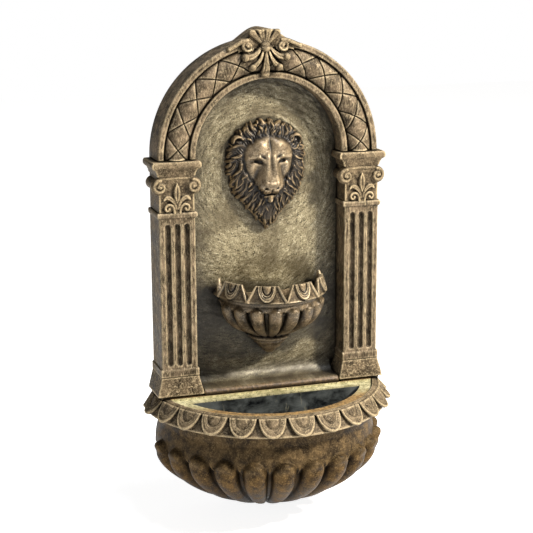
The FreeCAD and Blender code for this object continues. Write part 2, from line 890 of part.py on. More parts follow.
def mask_height(x, z):
    """Depth of the carved head in front of the niche, by masses and locks."""
    u = x / mask_half_w
    w = (z - mask_mid_z) / mask_half_h
    angle = math.atan2(w, u)
    reach = math.hypot(u, w) / mask_outline(angle)
    edge = 1.0 - reach ** 4
    if edge < 0:
        return max(-mane_skirt, edge * 10.0)
    base = mane_depth * edge ** 0.5 + lock_rise * lock_wave(angle, reach) * min(1.0, edge * 4.0) - 3.0
    face = 1.0 - (x / face_half_w) ** 2 - ((z - face_mid_z) / face_half_h) ** 2
    if face > 0:
        blend = min(1.0, face * 4.0)
        base = base * (1 - blend) + (face_depth + face_crown * face) * blend
    for cx, cz, rx, rz, height in face_domes:
        base += bump(abs(x), z, cx, cz, rx, rz, height)
    return base


def mask_bolt_places():
    z = mask_mid_z + mask_bolt_up
    return [(-mask_bolt_x, z), (mask_bolt_x, z)]


def make_lion_mask():
    """Carved head with a mane, hollow behind, with the spout's hole through its mouth."""
    grid = []
    for i in range(mask_columns):
        x = (2.0 * i / (mask_columns - 1) - 1.0) * (mask_half_w + mask_border)
        line = []
        for j in range(mask_rows):
            z = mask_mid_z + (2.0 * j / (mask_rows - 1) - 1.0) * (mask_half_h + mask_border)
            line.append(vec(x, niche_y - mask_height(x, z), z))
        grid.append(line)
    surface = Part.BSplineSurface()
    surface.interpolate(grid)
    block = surface.toShape().extrude(vec(0, mask_block_t, 0))
    if block.Volume < 0:
        block.reverse()
    front = box(-FAR, FAR, -FAR, niche_y, -FAR, FAR)
    head = block.common(front)
    head = sorted(head.Solids, key=lambda s: s.Volume)[-1]
    pocket_z = mask_mid_z + mask_pocket_up
    pocket_y = niche_y - mask_pocket_depth
    pocket = rod(mask_pocket_r, vec(0, 0, pocket_z), vec(0, pocket_y, pocket_z))
    posts = []
    for x, z in mask_bolt_places():
        posts.append(rod(bolt_r + boss_wall, vec(x, 0, z), vec(x, pocket_y, z)))
    pocket = pocket.cut(Part.makeCompound(posts))
    head = head.cut(pocket)
    throat = rod(hose_r + throat_gap, vec(0, 0, mouth_z), vec(0, -FAR, mouth_z))
    nut_end = niche_y - lock_nut_t - nut_room_gap
    nut_room = rod(lock_nut_r + throat_gap, vec(0, 0, mouth_z), vec(0, nut_end, mouth_z))
    head = head.cut(throat.fuse(nut_room))
    for x, z in mask_bolt_places():
        head = head.cut(rod(bolt_r, vec(x, 0, z), vec(x, pocket_y + mask_bolt_bite, z)))
    return sorted(head.Solids, key=lambda s: s.Volume)[-1]


# Half-round vessels

def lobed_wire(cx, cy, z, radius, rise, step_deg, count, back_y):
    """Half-round outline with raised lobes across its front and straight sides to the back."""
    edges = []
    half_span = step_deg * count / 2
    stops = [-90.0]
    if half_span < 90.0 - TINY:
        stops.append(-half_span)
    for k in range(1, count):
        stops.append(-half_span + k * step_deg)
    if half_span < 90.0 - TINY:
        stops.append(half_span)
    stops.append(90.0)

    def point(degrees, r):
        angle = math.radians(degrees)
        return vec(cx + r * math.sin(angle), cy - r * math.cos(angle), z)

    for a, b in zip(stops[:-1], stops[1:]):
        plain = half_span < 90.0 - TINY and (a < -half_span - TINY or b > half_span + TINY)
        lift = 0.0 if plain else rise
        crest = point((a + b) / 2, radius + lift)
        edges.append(Part.Arc(point(a, radius), crest, point(b, radius)).toShape())
    left = point(-90.0, radius)
    right = point(90.0, radius)
    edges.append(Part.makeLine(right, vec(right.x, back_y, z)))
    edges.append(Part.makeLine(vec(right.x, back_y, z), vec(left.x, back_y, z)))
    edges.append(Part.makeLine(vec(left.x, back_y, z), left))
    return Part.Wire(edges)


def lobed_body(cx, cy, back_y, sections, step_deg, count):
    wires = []
    for z, radius, rise in sections:
        wires.append(lobed_wire(cx, cy, z, radius, rise, step_deg, count, back_y))
    body = Part.makeLoft(wires, True, True)
    if body.Volume < 0:
        body.reverse()
    return body


def plain_body(cx, cy, back_y, sections):
    """Half-round body with straight sides, through sections of height and radius."""
    return lobed_body(cx, cy, back_y, [(z, radius, 0.0) for z, radius in sections], 90.0, 2)


def swept_ring(cx, cy, back_y, points):
    """A half-round ring with straight arms running back, from points in radius and height."""
    section = [vec(cx + r, cy, z) for r, z in points]
    face = Part.Face(polygon(section))
    ring = face.revolve(vec(cx, cy, 0), vec(0, 0, 1), -180)
    arm = face.extrude(vec(0, back_y - cy, 0))
    other = arm.mirror(vec(cx, 0, 0), vec(1, 0, 0))
    return ring.multiFuse([arm, other])


def egg_prism(half_w, length, reach):
    """A pointed egg outline, drawn in the x-z plane from its flat top downwards."""
    right = vec(half_w, 0, 0)
    left = vec(-half_w, 0, 0)
    tip = vec(0, 0, -length)
    side_a = Part.Arc(right, vec(half_w * egg_shoulder, 0, -length * egg_shoulder_drop), tip).toShape()
    side_b = Part.Arc(tip, vec(-half_w * egg_shoulder, 0, -length * egg_shoulder_drop), left).toShape()
    face = Part.Face(Part.Wire([side_a, side_b, Part.makeLine(left, right)]))
    shape = face.extrude(vec(0, reach, 0))
    shape.translate(vec(0, -reach / 2, 0))
    return shape


def petal_set(cx, cy, top_z, top_r, bottom_r, drop, width, length, rise, angles):
    """Raised leaf-and-tongue petals on a sloping rim: the leaves to add and the grooves to cut."""
    slope = math.degrees(math.atan2(bottom_r - top_r, drop))
    eggs = []
    for scale in (1.0, groove_outer, groove_inner):
        shape = egg_prism(width / 2 * scale, length * scale, petal_reach)
        shape.rotate(vec(0, 0, 0), vec(1, 0, 0), -slope)
        shape.translate(vec(cx, cy - top_r, top_z))
        eggs.append(shape)
    lift = groove_floor * rise
    inner = top_r - petal_reach
    run = (bottom_r - top_r) / drop
    shelf = top_r + rise + petal_top_gap * run
    back_y = cy + petal_reach
    proud = swept_ring(cx, cy, back_y, [(inner, top_z - petal_top_gap), (shelf, top_z - petal_top_gap),
                                        (bottom_r + rise, top_z - drop), (inner, top_z - drop - petal_skirt)])
    high = top_z + petal_over
    over = drop + petal_over
    flush = swept_ring(cx, cy, back_y, [(inner, high), (top_r + lift - petal_over * run, high),
                                        (top_r + lift + over * run, top_z - over), (inner, top_z - over)])
    leaf_piece = eggs[0].common(proud)
    groove_piece = eggs[1].cut(eggs[2]).cut(flush)
    leaves = [turn(leaf_piece, degrees, cx, cy) for degrees in angles]
    grooves = [turn(groove_piece, degrees, cx, cy) for degrees in angles]
    return leaves, grooves


# Upper bowl

def bowl_bolt_places():
    z = bowl_rim_top_z - bowl_rim_h - bowl_bolt_drop
    return [(bowl_x - bowl_bolt_x, z), (bowl_x + bowl_bolt_x, z)]


def bowl_foot(foot_top):
    """Foot ring under the gadroons, and the stepped finial that hangs from it."""
    low = foot_top - bowl_foot_h
    ring = [(foot_top + 1.0, bowl_foot_r - 4.0), (foot_top - 1.0, bowl_foot_r), (low + 2.0, bowl_foot_r),
            (low, bowl_foot_r - bowl_foot_taper)]
    pieces = [plain_body(bowl_x, bowl_y, niche_y, ring)]
    for start, end, share in finial_steps:
        radius = bowl_foot_r * share
        step = [(low - finial_h * start, radius), (low - finial_h * end, radius * finial_taper)]
        pieces.append(plain_body(bowl_x, bowl_y, niche_y, step))
    return pieces


def bowl_notches(neck_z):
    """V cuts that part the crown's petals."""
    half = bowl_notch_w / 2
    y = bowl_y - bowl_body_r * 0.6
    top = bowl_rim_top_z + MARGIN
    corners = [vec(bowl_x - half, y, top), vec(bowl_x + half, y, top),
               vec(bowl_x, y, neck_z + bowl_notch_gap)]
    notches = []
    for i in range(notch_count):
        wedge = prism(corners, vec(0, -bowl_cut_reach, 0))
        notches.append(turn(wedge, bowl_notch_step * (i - (notch_count - 1) / 2), bowl_x, bowl_y))
    return notches


def make_upper_bowl():
    """Half-round catch bowl: notched crown, gadrooned body, foot ring and finial."""
    neck_z = bowl_rim_top_z - bowl_rim_h
    r = bowl_body_r
    sections = [(neck_z - drop, r * share - inset, rise) for drop, share, inset, rise in bowl_skin]
    body = lobed_body(bowl_x, bowl_y, niche_y, sections, bowl_gadroon_step, bowl_gadroons)
    top_r = bowl_rim_r - bowl_rim_slope
    inner_r = bowl_inside[0][1] * r - bowl_inside[0][2]
    ring = [(top_r - bowl_wall, bowl_rim_top_z), (top_r, bowl_rim_top_z), (bowl_rim_r, neck_z),
            (bowl_rim_r - 2.0, neck_z - bowl_lip_t), (inner_r, neck_z - bowl_lip_t)]
    crown = swept_ring(bowl_x, bowl_y, niche_y, ring)
    body = body.multiFuse([crown] + bowl_foot(neck_z - bowl_neck_gap - bowl_body_h))
    angles = [bowl_notch_step * (i - 1.5) for i in range(4)]
    leaves, grooves = petal_set(bowl_x, bowl_y, bowl_rim_top_z, top_r, bowl_rim_r, bowl_rim_h, bowl_petal_w,
                                bowl_rim_h + 1.0, bowl_petal_rise, angles)
    body = body.multiFuse(leaves).cut(Part.makeCompound(grooves))
    cavity = [(bowl_rim_top_z + MARGIN, top_r - bowl_wall)]
    cavity += [(neck_z - drop, r * share - inset) for drop, share, inset in bowl_inside]
    body = body.cut(plain_body(bowl_x, bowl_y, niche_y - bowl_wall, cavity))
    body = body.cut(Part.makeCompound(bowl_notches(neck_z)))
    sockets = []
    for x, z in bowl_bolt_places():
        sockets.append(rod(bolt_r, vec(x, 0, z), vec(x, niche_y - bowl_wall + bolt_tip_gap, z)))
    body = body.cut(Part.makeCompound(sockets))
    return sorted(body.Solids, key=lambda s: s.Volume)[-1]


# Basin

def make_basin_rim():
    """Deck and petalled rim of the basin, with the D-shaped opening."""
    outer = basin_petal_r - petal_rise
    shoulder_r = basin_lip_r + lip_round
    shoulder_z = deck_top - lip_round / 2
    ring = [(tub_r + liner_gap, ledge_z), (liner_r + liner_gap, ledge_z), (liner_r + liner_gap, deck_top),
            (basin_lip_r, deck_top), (shoulder_r, shoulder_z), (outer, shoulder_z - rim_drop),
            (outer - 2.0, rim_bottom), (body_neck_r - body_wall, rim_bottom),
            (body_neck_r - body_wall, deck_bottom), (tub_r + liner_gap, deck_bottom)]
    rim = swept_ring(0, basin_y, 0, ring)
    span = liner_r + 2 * liner_gap
    deck = box(-span, span, opening_back, 0, deck_bottom, deck_top)
    ledge = box(-span, span, tub_back + liner_edge_gap, opening_back, deck_bottom, ledge_z)
    inside = rod(span, vec(0, basin_y, deck_bottom - MARGIN), vec(0, basin_y, deck_top + MARGIN))
    ledge = ledge.common(inside)
    back = box(-span, span, -back_wall, 0, rim_bottom, deck_bottom)
    rim = rim.multiFuse([deck, ledge, back])
    angles = [(i - (petal_count - 1) / 2) * 180.0 / petal_count for i in range(petal_count)]
    leaves, grooves = petal_set(0, basin_y, shoulder_z, shoulder_r, outer, rim_drop, petal_w, petal_len,
                                petal_rise, angles)
    rim = rim.multiFuse(leaves).cut(Part.makeCompound(grooves))
    clear = box(-FAR, FAR, 0, FAR, -FAR * 2, FAR)
    hose_hole = rod(hose_r + hose_gap, vec(0, hose_y, deck_bottom - MARGIN),
                    vec(0, hose_y, deck_top + MARGIN))
    rim = rim.cut(clear).cut(hose_hole)
    for x, y in deck_bolt_places():
        rim = rim.cut(rod(bolt_r + bolt_gap, vec(x, y, deck_bottom - MARGIN), vec(x, y, deck_top + MARGIN)))
    return sorted(rim.Solids, key=lambda s: s.Volume)[-1]


def body_radius(share):
    """Radius of the basin's skin as a share of the way down from its widest level."""
    return body_r * (1 - share ** body_flatness) ** (1 / body_roundness)


def body_sections():
    """Height, radius and gadroon rise of the basin's skin, from its neck to its foot."""
    neck_bottom = rim_bottom - body_neck_h
    sections = []
    for share in (0.0, 0.3, 0.6, 0.85, 1.0):
        waist = body_neck_r - body_waist * math.sin(math.pi * min(share * 1.2, 1.0))
        sections.append((rim_bottom - share * body_neck_h, waist, 0.0))
    sections.append((neck_bottom - shoulder_h * 0.3, body_neck_r + 0.5, body_gadroon_rise * 0.7))
    sections.append((neck_bottom - shoulder_h, body_r - body_gadroon_rise, body_gadroon_rise))
    for k in range(1, body_levels):
        share = 1 - (1 - k / body_levels) ** 1.3
        rise = body_gadroon_rise * (1 - share ** 4)
        z = neck_bottom - shoulder_h - share * (body_h - shoulder_h)
        sections.append((z, max(body_radius(share) - rise, 6.0), rise))
    return sections


def make_basin_bowl():
    """Gadrooned outer shell of the basin, hollow, with a flat back."""
    sections = body_sections()
    body = lobed_body(0, basin_y, 0, sections, 180.0 / body_gadroons, body_gadroons)
    inner = []
    for z, radius, _ in sections[:-2]:
        inner.append((z + body_wall * 0.4, max(radius - body_wall, 10.0)))
    inner[0] = (sections[0][0] + MARGIN, inner[0][1])
    cavity = plain_body(0, basin_y, -back_wall, inner)
    body = body.cut(cavity)
    z = cord_gland_z()
    gland = rod(cord_bore_r + grommet_lip, vec(cord_gland_x, MARGIN, z), vec(cord_gland_x, -gland_reach, z))
    body = body.cut(gland)
    return sorted(body.Solids, key=lambda s: s.Volume)[-1]


def cord_gland_z():
    return deck_top - cord_gland_drop


def d_shape(radius, back_y, z):
    """Half-round outline cut off by a straight back edge."""
    reach = basin_y - back_y
    half = math.sqrt(radius * radius - reach * reach)
    left = vec(-half, back_y, z)
    right = vec(half, back_y, z)
    front = vec(0, basin_y - radius, z)
    return Part.Wire([Part.Arc(left, front, right).toShape(), Part.makeLine(right, left)])


def tub(radius, back_y, top, bottom, shrink):
    lower = d_shape(radius - liner_taper - shrink, back_y - shrink, bottom)
    upper = d_shape(radius - shrink, back_y - shrink, top)
    return Part.makeLoft([lower, upper], True, True)


def make_liner():
    """D-shaped water tub with a flange that rests in the rim's recess."""
    flange_top = ledge_z + liner_flange_t
    back = opening_back - liner_edge_gap
    outline = Part.Face(d_shape(liner_r, back, ledge_z))
    flange = outline.extrude(vec(0, 0, liner_flange_t))
    bottom = ledge_z - liner_depth
    skin = tub(tub_r, tub_back, ledge_z, bottom, 0.0)
    core = tub(tub_r, tub_back, flange_top + MARGIN, bottom + liner_wall, liner_wall)
    bead = box(-FAR, FAR, opening_back - bead_w, back, flange_top, flange_top + bead_h)
    bead = bead.common(outline.extrude(vec(0, 0, liner_flange_t + bead_h)))
    body = flange.multiFuse([skin, bead]).cut(core)
    for x in (0.0, cord_gland_x):
        r = hose_r if x == 0.0 else cord_bore_r
        body = body.cut(rod(r + grommet_lip, vec(x, 0, hose_entry_z), vec(x, pump_y, hose_entry_z)))
    return body


def make_grommets():
    """Rubber rings where the hose and the lead leave the tub, and where the lead leaves the back."""
    rings = []
    for x, bore in ((0.0, hose_r), (cord_gland_x, cord_bore_r)):
        y = tub_back
        outer = bore + grommet_lip
        body = rod(outer, vec(x, y, hose_entry_z), vec(x, y - liner_wall - collar_t, hose_entry_z))
        collar = rod(outer + collar_out, vec(x, y + collar_t, hose_entry_z), vec(x, y, hose_entry_z))
        hole = rod(bore, vec(x, 0, hose_entry_z), vec(x, -FAR / 2, hose_entry_z))
        rings.append(body.fuse(collar).cut(hole))
    return Part.makeCompound(rings)


def make_cable_gland():
    x = cord_gland_x
    z = cord_gland_z()
    outer = cord_bore_r + grommet_lip
    body = rod(outer, vec(x, 0, z), vec(x, -back_wall, z))
    collar = rod(outer + collar_out, vec(x, -back_wall, z), vec(x, -back_wall - gland_collar_t, z))
    return body.fuse(collar).cut(rod(cord_bore_r, vec(x, MARGIN, z), vec(x, -gland_reach, z)))


# Back cover

def make_back_cover():
    """Flat sheet that closes the hollow castings against the wall."""
    r = arch_outer_r - cover_inset
    half = pilaster_x + shaft_w / 2 - cover_inset
    arc = Part.Arc(vec(r, 0, 0), vec(0, 0, r), vec(-r, 0, 0)).toShape()
    points = [vec(-r, 0, 0), vec(-half, 0, cornice_top), vec(-half, 0, deck_top), vec(half, 0, deck_top),
              vec(half, 0, cornice_top), vec(r, 0, 0)]
    edges = [arc] + [Part.makeLine(a, b) for a, b in zip(points[:-1], points[1:])]
    sheet = Part.Face(Part.Wire(edges)).extrude(vec(0, -cover_t, 0))
    cuts = [keyhole(-1, key_gap), keyhole(1, key_gap)]
    for side in (-1, 1):
        for x, z in hanger_screw_places(side):
            cuts.append(rod(screw_head_r + 1.0, vec(x, MARGIN, z), vec(x, -cover_t - MARGIN, z)))
    for x, z in cover_screw_places():
        head_t = screw_head_r - screw_r
        cuts.append(Part.makeCone(screw_head_r, screw_r, head_t, vec(x, 0, z), vec(0, -1, 0)))
        cuts.append(rod(screw_r, vec(x, MARGIN, z), vec(x, -cover_t - MARGIN, z)))
    return sheet.cut(Part.makeCompound(cuts))


def cover_screw_places():
    return arch_screw_places() + pilaster_screw_places(-1) + pilaster_screw_places(1)


def make_cover_screws():
    return Part.makeCompound([cross_screw(x, 0.0, z, screw_len) for x, z in cover_screw_places()])


# Bolts through the panel and deck

def through_bolt(x, y, z, push, length):
    """A headed bolt with its washer, standing on the head's seat and running along push."""
    start = vec(x, y, z)
    washer = tube(washer_r, bolt_r, start, start - push * washer_t)
    head = rod(bolt_head_r, start - push * washer_t, start - push * (washer_t + bolt_head_t))
    shank = rod(bolt_r, start - push * washer_t, start + push * length)
    return head.fuse(shank), washer


def deck_bolt_places():
    return [(-pilaster_x, deck_bolt_y), (pilaster_x, deck_bolt_y)]


def make_deck_bolts():
    length = deck_t + foot_plate - bolt_short
    pairs = [through_bolt(x, y, deck_bottom, vec(0, 0, 1), length) for x, y in deck_bolt_places()]
    return [p[0] for p in pairs], [p[1] for p in pairs]


def make_mask_bolts():
    length = panel_t + mask_bolt_grip
    pairs = [through_bolt(x, panel_back, z, vec(0, -1, 0), length) for x, z in mask_bolt_places()]
    return [p[0] for p in pairs], [p[1] for p in pairs]


def make_bowl_bolts():
    length = panel_t + bowl_wall - 1.5
    pairs = [through_bolt(x, panel_back, z, vec(0, -1, 0), length) for x, z in bowl_bolt_places()]
    return [p[0] for p in pairs], [p[1] for p in pairs]


# Plumbing

def bend(start, corner, end, radius):
    """Centre line of two straight runs joined by a tangent arc."""
    first = (start - corner).normalize()
    last = (end - corner).normalize()
    a = corner + first * radius
    b = corner + last * radius
    centre = corner + first * radius + last * radius
    middle = centre + (corner - centre).normalize() * radius
    return a, middle, b


def riser_path():
    top = vec(0, hose_y, mouth_z - elbow_drop)
    outlet = vec(0, outlet_y(), outlet_top() + seat_rise)
    low_corner = vec(0, outlet_y(), hose_entry_z)
    high_corner = vec(0, hose_y, hose_entry_z)
    low_r = min(hose_bend_r, (hose_entry_z - outlet.z) * hose_bend_share)
    a, m, b = bend(outlet, low_corner, high_corner, low_r)
    c, n, d = bend(low_corner, high_corner, top, hose_bend_r)
    edges = [Part.makeLine(outlet, a), Part.Arc(a, m, b).toShape(), Part.makeLine(b, c)]
    edges += [Part.Arc(c, n, d).toShape(), Part.makeLine(d, top)]
    return Part.Wire(edges), outlet, top


def outlet_y():
    return motor_front - volute_len / 2


def outlet_top():
    return pump_bottom + pump_h + outlet_rise


def make_riser():
    path, start, _ = riser_path()
    ring_out = Part.Wire(Part.makeCircle(hose_r, start, vec(0, 0, 1)))
    ring_in = Part.Wire(Part.makeCircle(hose_bore_r, start, vec(0, 0, 1)))
    outer = path.makePipeShell([ring_out], True, False)
    inner = path.makePipeShell([ring_in], True, False)
    return outer.cut(inner)


def make_hose_clamps():
    _, start, end = riser_path()
    rings = []
    for middle in (start + vec(0, 0, clamp_low), end - vec(0, 0, clamp_high)):
        low = middle - vec(0, 0, clamp_w / 2)
        high = middle + vec(0, 0, clamp_w / 2)
        rings.append(tube(hose_r + clamp_t, hose_r, low, high))
    return Part.makeCompound(rings)


def make_outlet_adapter():
    """Stepped tail that plugs on the pump's outlet and takes the hose."""
    y = outlet_y()
    low = vec(0, y, pump_bottom + pump_h + part_gap)
    seat = vec(0, y, outlet_top() + seat_rise)
    tail = seat + vec(0, 0, tail_len)
    collar = rod(hose_r + collar_out, low, seat)
    body = collar.fuse(rod(hose_bore_r, seat, tail))
    body = body.cut(rod(hose_r, low, vec(0, y, outlet_top())))
    return body.cut(rod(spout_bore_r, low, tail))


def make_elbow():
    """Elbow behind the panel: barb for the hose, flange, and a stem through the panel."""
    y = hose_y
    root = vec(0, y, mouth_z - elbow_drop)
    barb = rod(hose_bore_r, root - vec(0, 0, barb_len), root)
    upright = rod(hose_r, root, vec(0, y, mouth_z + hose_r))
    stem_end = niche_y - lock_nut_t - elbow_stem_out
    stem = rod(hose_r, vec(0, y, mouth_z), vec(0, stem_end, mouth_z))
    flange = rod(lock_nut_r, vec(0, panel_back + elbow_flange_t, mouth_z), vec(0, panel_back, mouth_z))
    body = barb.multiFuse([upright, stem, flange])
    bore_up = rod(spout_bore_r, root - vec(0, 0, barb_len + MARGIN), vec(0, y, mouth_z))
    bore_out = rod(spout_bore_r, vec(0, y, mouth_z), vec(0, stem_end - MARGIN, mouth_z))
    return body.cut(bore_up.fuse(bore_out))


def make_lock_nut():
    start = vec(0, niche_y, mouth_z)
    end = vec(0, niche_y - lock_nut_t, mouth_z)
    points = []
    for k in range(6):
        angle = math.radians(60.0 * k)
        points.append(vec(lock_nut_r * math.cos(angle), niche_y, mouth_z + lock_nut_r * math.sin(angle)))
    return prism(points, end - start).cut(rod(hose_r, start + vec(0, 1, 0), end - vec(0, 1, 0)))


def make_spout():
    """Short nozzle tube that carries the water to the lips."""
    back = vec(0, niche_y - lock_nut_t - elbow_stem_out, mouth_z)
    tip = vec(0, niche_y - mask_depth * spout_share, mouth_z)
    return tube(hose_r, spout_bore_r, back, tip)


# Pump, drawn facing -Y and then turned to face +X about its own outlet

def sideways(shape):
    return turn(shape, 90.0, 0, outlet_y())


def pump_box(front, back, bottom, top, half_w):
    block = box(-half_w, half_w, front, back, bottom, top)
    uprights = [e for e in block.Edges if abs(e.Vertexes[0].Point.y - e.Vertexes[1].Point.y) > 1.0]
    return block.makeFillet(pump_round, uprights)


def make_pump_body():
    """Sealed motor block with the rotor's well and its fixed shaft seat."""
    block = pump_box(motor_front, motor_front + pump_motor_len, pump_bottom, pump_bottom + pump_h, pump_w / 2)
    well_end = motor_front + rotor_len + well_end_gap
    well = rod(rotor_well_r, vec(0, motor_front - MARGIN, pump_mid_z), vec(0, well_end, pump_mid_z))
    seat = rod(bush_r, vec(0, motor_front, pump_mid_z), vec(0, well_end + bush_len, pump_mid_z))
    back = motor_front + pump_motor_len
    lead_z = pump_mid_z + lead_up
    inlet = rod(cord_bore_r, vec(lead_x, back + MARGIN, lead_z), vec(lead_x, back - lead_reach, lead_z))
    feet = []
    for x, y in foot_places():
        feet.append(rod(foot_plug_r, vec(x, y, pump_bottom - MARGIN), vec(x, y, pump_bottom + foot_plug_h)))
    return block.cut(Part.makeCompound([well.fuse(seat), inlet] + feet))


def foot_places():
    x = pump_w / 2 - foot_inset
    front = motor_front + foot_inset
    back = motor_front + pump_motor_len - foot_inset
    return [(-x, front), (x, front), (-x, back), (x, back)]


def make_suction_feet():
    neck_r = foot_r / 2
    cup_h = foot_h - foot_neck_h
    feet = []
    for x, y in foot_places():
        cup = Part.makeCone(foot_r, neck_r, cup_h, vec(x, y, floor_top), vec(0, 0, 1))
        hollow = Part.makeCone(foot_r - foot_wall, 1.0, cup_h - 2.0, vec(x, y, floor_top), vec(0, 0, 1))
        neck = rod(neck_r, vec(x, y, floor_top + cup_h), vec(x, y, pump_bottom))
        plug = rod(foot_plug_r, vec(x, y, pump_bottom), vec(x, y, pump_bottom + foot_plug_h))
        feet.append(cup.multiFuse([neck, plug]).cut(hollow))
    return Part.makeCompound(feet)


def make_volute():
    """Cover with the impeller's chamber, the intake eye and the outlet on top."""
    block = pump_box(volute_front, motor_front, pump_bottom, pump_bottom + pump_h, pump_w / 2)
    chamber_front = motor_front - chamber_len
    chamber = rod(chamber_r, vec(0, motor_front + MARGIN, pump_mid_z), vec(0, chamber_front, pump_mid_z))
    eye = rod(intake_r, vec(0, motor_front, pump_mid_z), vec(0, volute_front - MARGIN, pump_mid_z))
    y = outlet_y()
    stub = rod(hose_r, vec(0, y, pump_bottom + pump_h - stub_root), vec(0, y, outlet_top()))
    port = rod(hose_bore_r, vec(0, y, pump_mid_z), vec(0, y, outlet_top() + MARGIN))
    reach = intake_r + MARGIN
    spider = box(-reach, reach, volute_front, volute_front + spider_t, pump_mid_z - spider_half_w,
                 pump_mid_z + spider_half_w)
    hub_end = vec(0, volute_front + bush_len, pump_mid_z)
    hub = rod(bush_r + bush_wall, vec(0, volute_front, pump_mid_z), hub_end)
    body = block.fuse(stub).cut(chamber.multiFuse([eye, port])).multiFuse([spider, hub])
    return body.cut(rod(bush_r, vec(0, volute_front - MARGIN, pump_mid_z), vec(0, motor_front, pump_mid_z)))


def make_impeller_shaft():
    start = vec(0, volute_front, pump_mid_z)
    end = vec(0, motor_front + rotor_len + well_end_gap + bush_len, pump_mid_z)
    return rod(shaft_r, start, end)


def make_impeller_bushes():
    front = vec(0, volute_front, pump_mid_z)
    back = vec(0, motor_front + rotor_len + well_end_gap, pump_mid_z)
    length = vec(0, bush_len, 0)
    return Part.makeCompound([tube(bush_r, shaft_r, at, at + length) for at in (front, back)])


def make_impeller():
    """Magnet rotor and vaned wheel in one piece, turning on the fixed shaft."""
    seam = motor_front - part_gap
    start = vec(0, seam - impeller_len, pump_mid_z)
    end = vec(0, motor_front + rotor_len, pump_mid_z)
    magnet = rod(rotor_r, vec(0, seam, pump_mid_z), end)
    disc = rod(impeller_r, vec(0, seam - impeller_disc_t, pump_mid_z), vec(0, seam, pump_mid_z))
    hub = rod(shaft_r + hub_wall, start, vec(0, motor_front, pump_mid_z))
    low = pump_mid_z - vane_t / 2
    vanes = []
    for k in range(impeller_vanes):
        vane = box(0, impeller_r, start.y, motor_front - MARGIN, low, low + vane_t)
        vane.rotate(vec(0, 0, pump_mid_z), vec(0, 1, 0), 360.0 * k / impeller_vanes)
        vanes.append(vane)
    body = magnet.multiFuse([disc, hub] + vanes)
    along = vec(0, MARGIN, 0)
    return body.cut(rod(shaft_r + shaft_fit, start - along, end + along))


def make_grille():
    """Slotted intake cover that pulls off the front of the pump."""
    back = volute_front - part_gap
    half = pump_w / 2
    block = pump_box(grille_front, back, pump_bottom, pump_bottom + pump_h, half)
    room = box(-half + grille_wall, half - grille_wall, grille_front + grille_wall, back + MARGIN,
               pump_bottom + grille_wall, pump_bottom + pump_h - grille_wall)
    body = block.cut(room)
    front = grille_front - MARGIN
    inside = grille_front + grille_wall + MARGIN
    dial_gap = dial_r + slot_dial_gap
    spans = [(pump_bottom + slot_edge, pump_mid_z - dial_gap),
             (pump_mid_z + dial_gap, pump_bottom + pump_h - slot_edge)]
    pitch = (pump_w - 2 * slot_side) / grille_slots
    slots = []
    for k in range(grille_slots):
        x = (k - (grille_slots - 1) / 2) * pitch
        for z0, z1 in spans:
            slots.append(box(x - slot_w / 2, x + slot_w / 2, front, inside, z0, z1))
    stem_hole = rod(dial_stem_r + shaft_fit, vec(0, front, pump_mid_z), vec(0, inside, pump_mid_z))
    return body.cut(Part.makeCompound(slots + [stem_hole]))


def make_sponge():
    half = pump_w / 2 - grille_wall - part_gap
    front = grille_front + grille_wall + sponge_gap
    return box(-half, half, front, volute_front - MARGIN, pump_bottom + grille_wall + part_gap,
               pump_bottom + pump_h - grille_wall - part_gap)


def make_flow_dial():
    """Turning dial on the front of the grille that sets the flow."""
    face = grille_front - part_gap
    front = face - dial_t
    inside = grille_front + grille_wall
    disc = rod(dial_r, vec(0, front, pump_mid_z), vec(0, face, pump_mid_z))
    reach = dial_r - grip_inset
    grip = box(-reach, reach, front - grip_h, front, pump_mid_z - grip_half_w, pump_mid_z + grip_half_w)
    stem = rod(dial_stem_r, vec(0, face, pump_mid_z), vec(0, inside + stem_len, pump_mid_z))
    tip_start = vec(0, inside + part_gap, pump_mid_z)
    tip = rod(dial_stem_r + tip_out, tip_start, vec(0, inside + tip_len, pump_mid_z))
    return disc.multiFuse([grip, stem, tip])


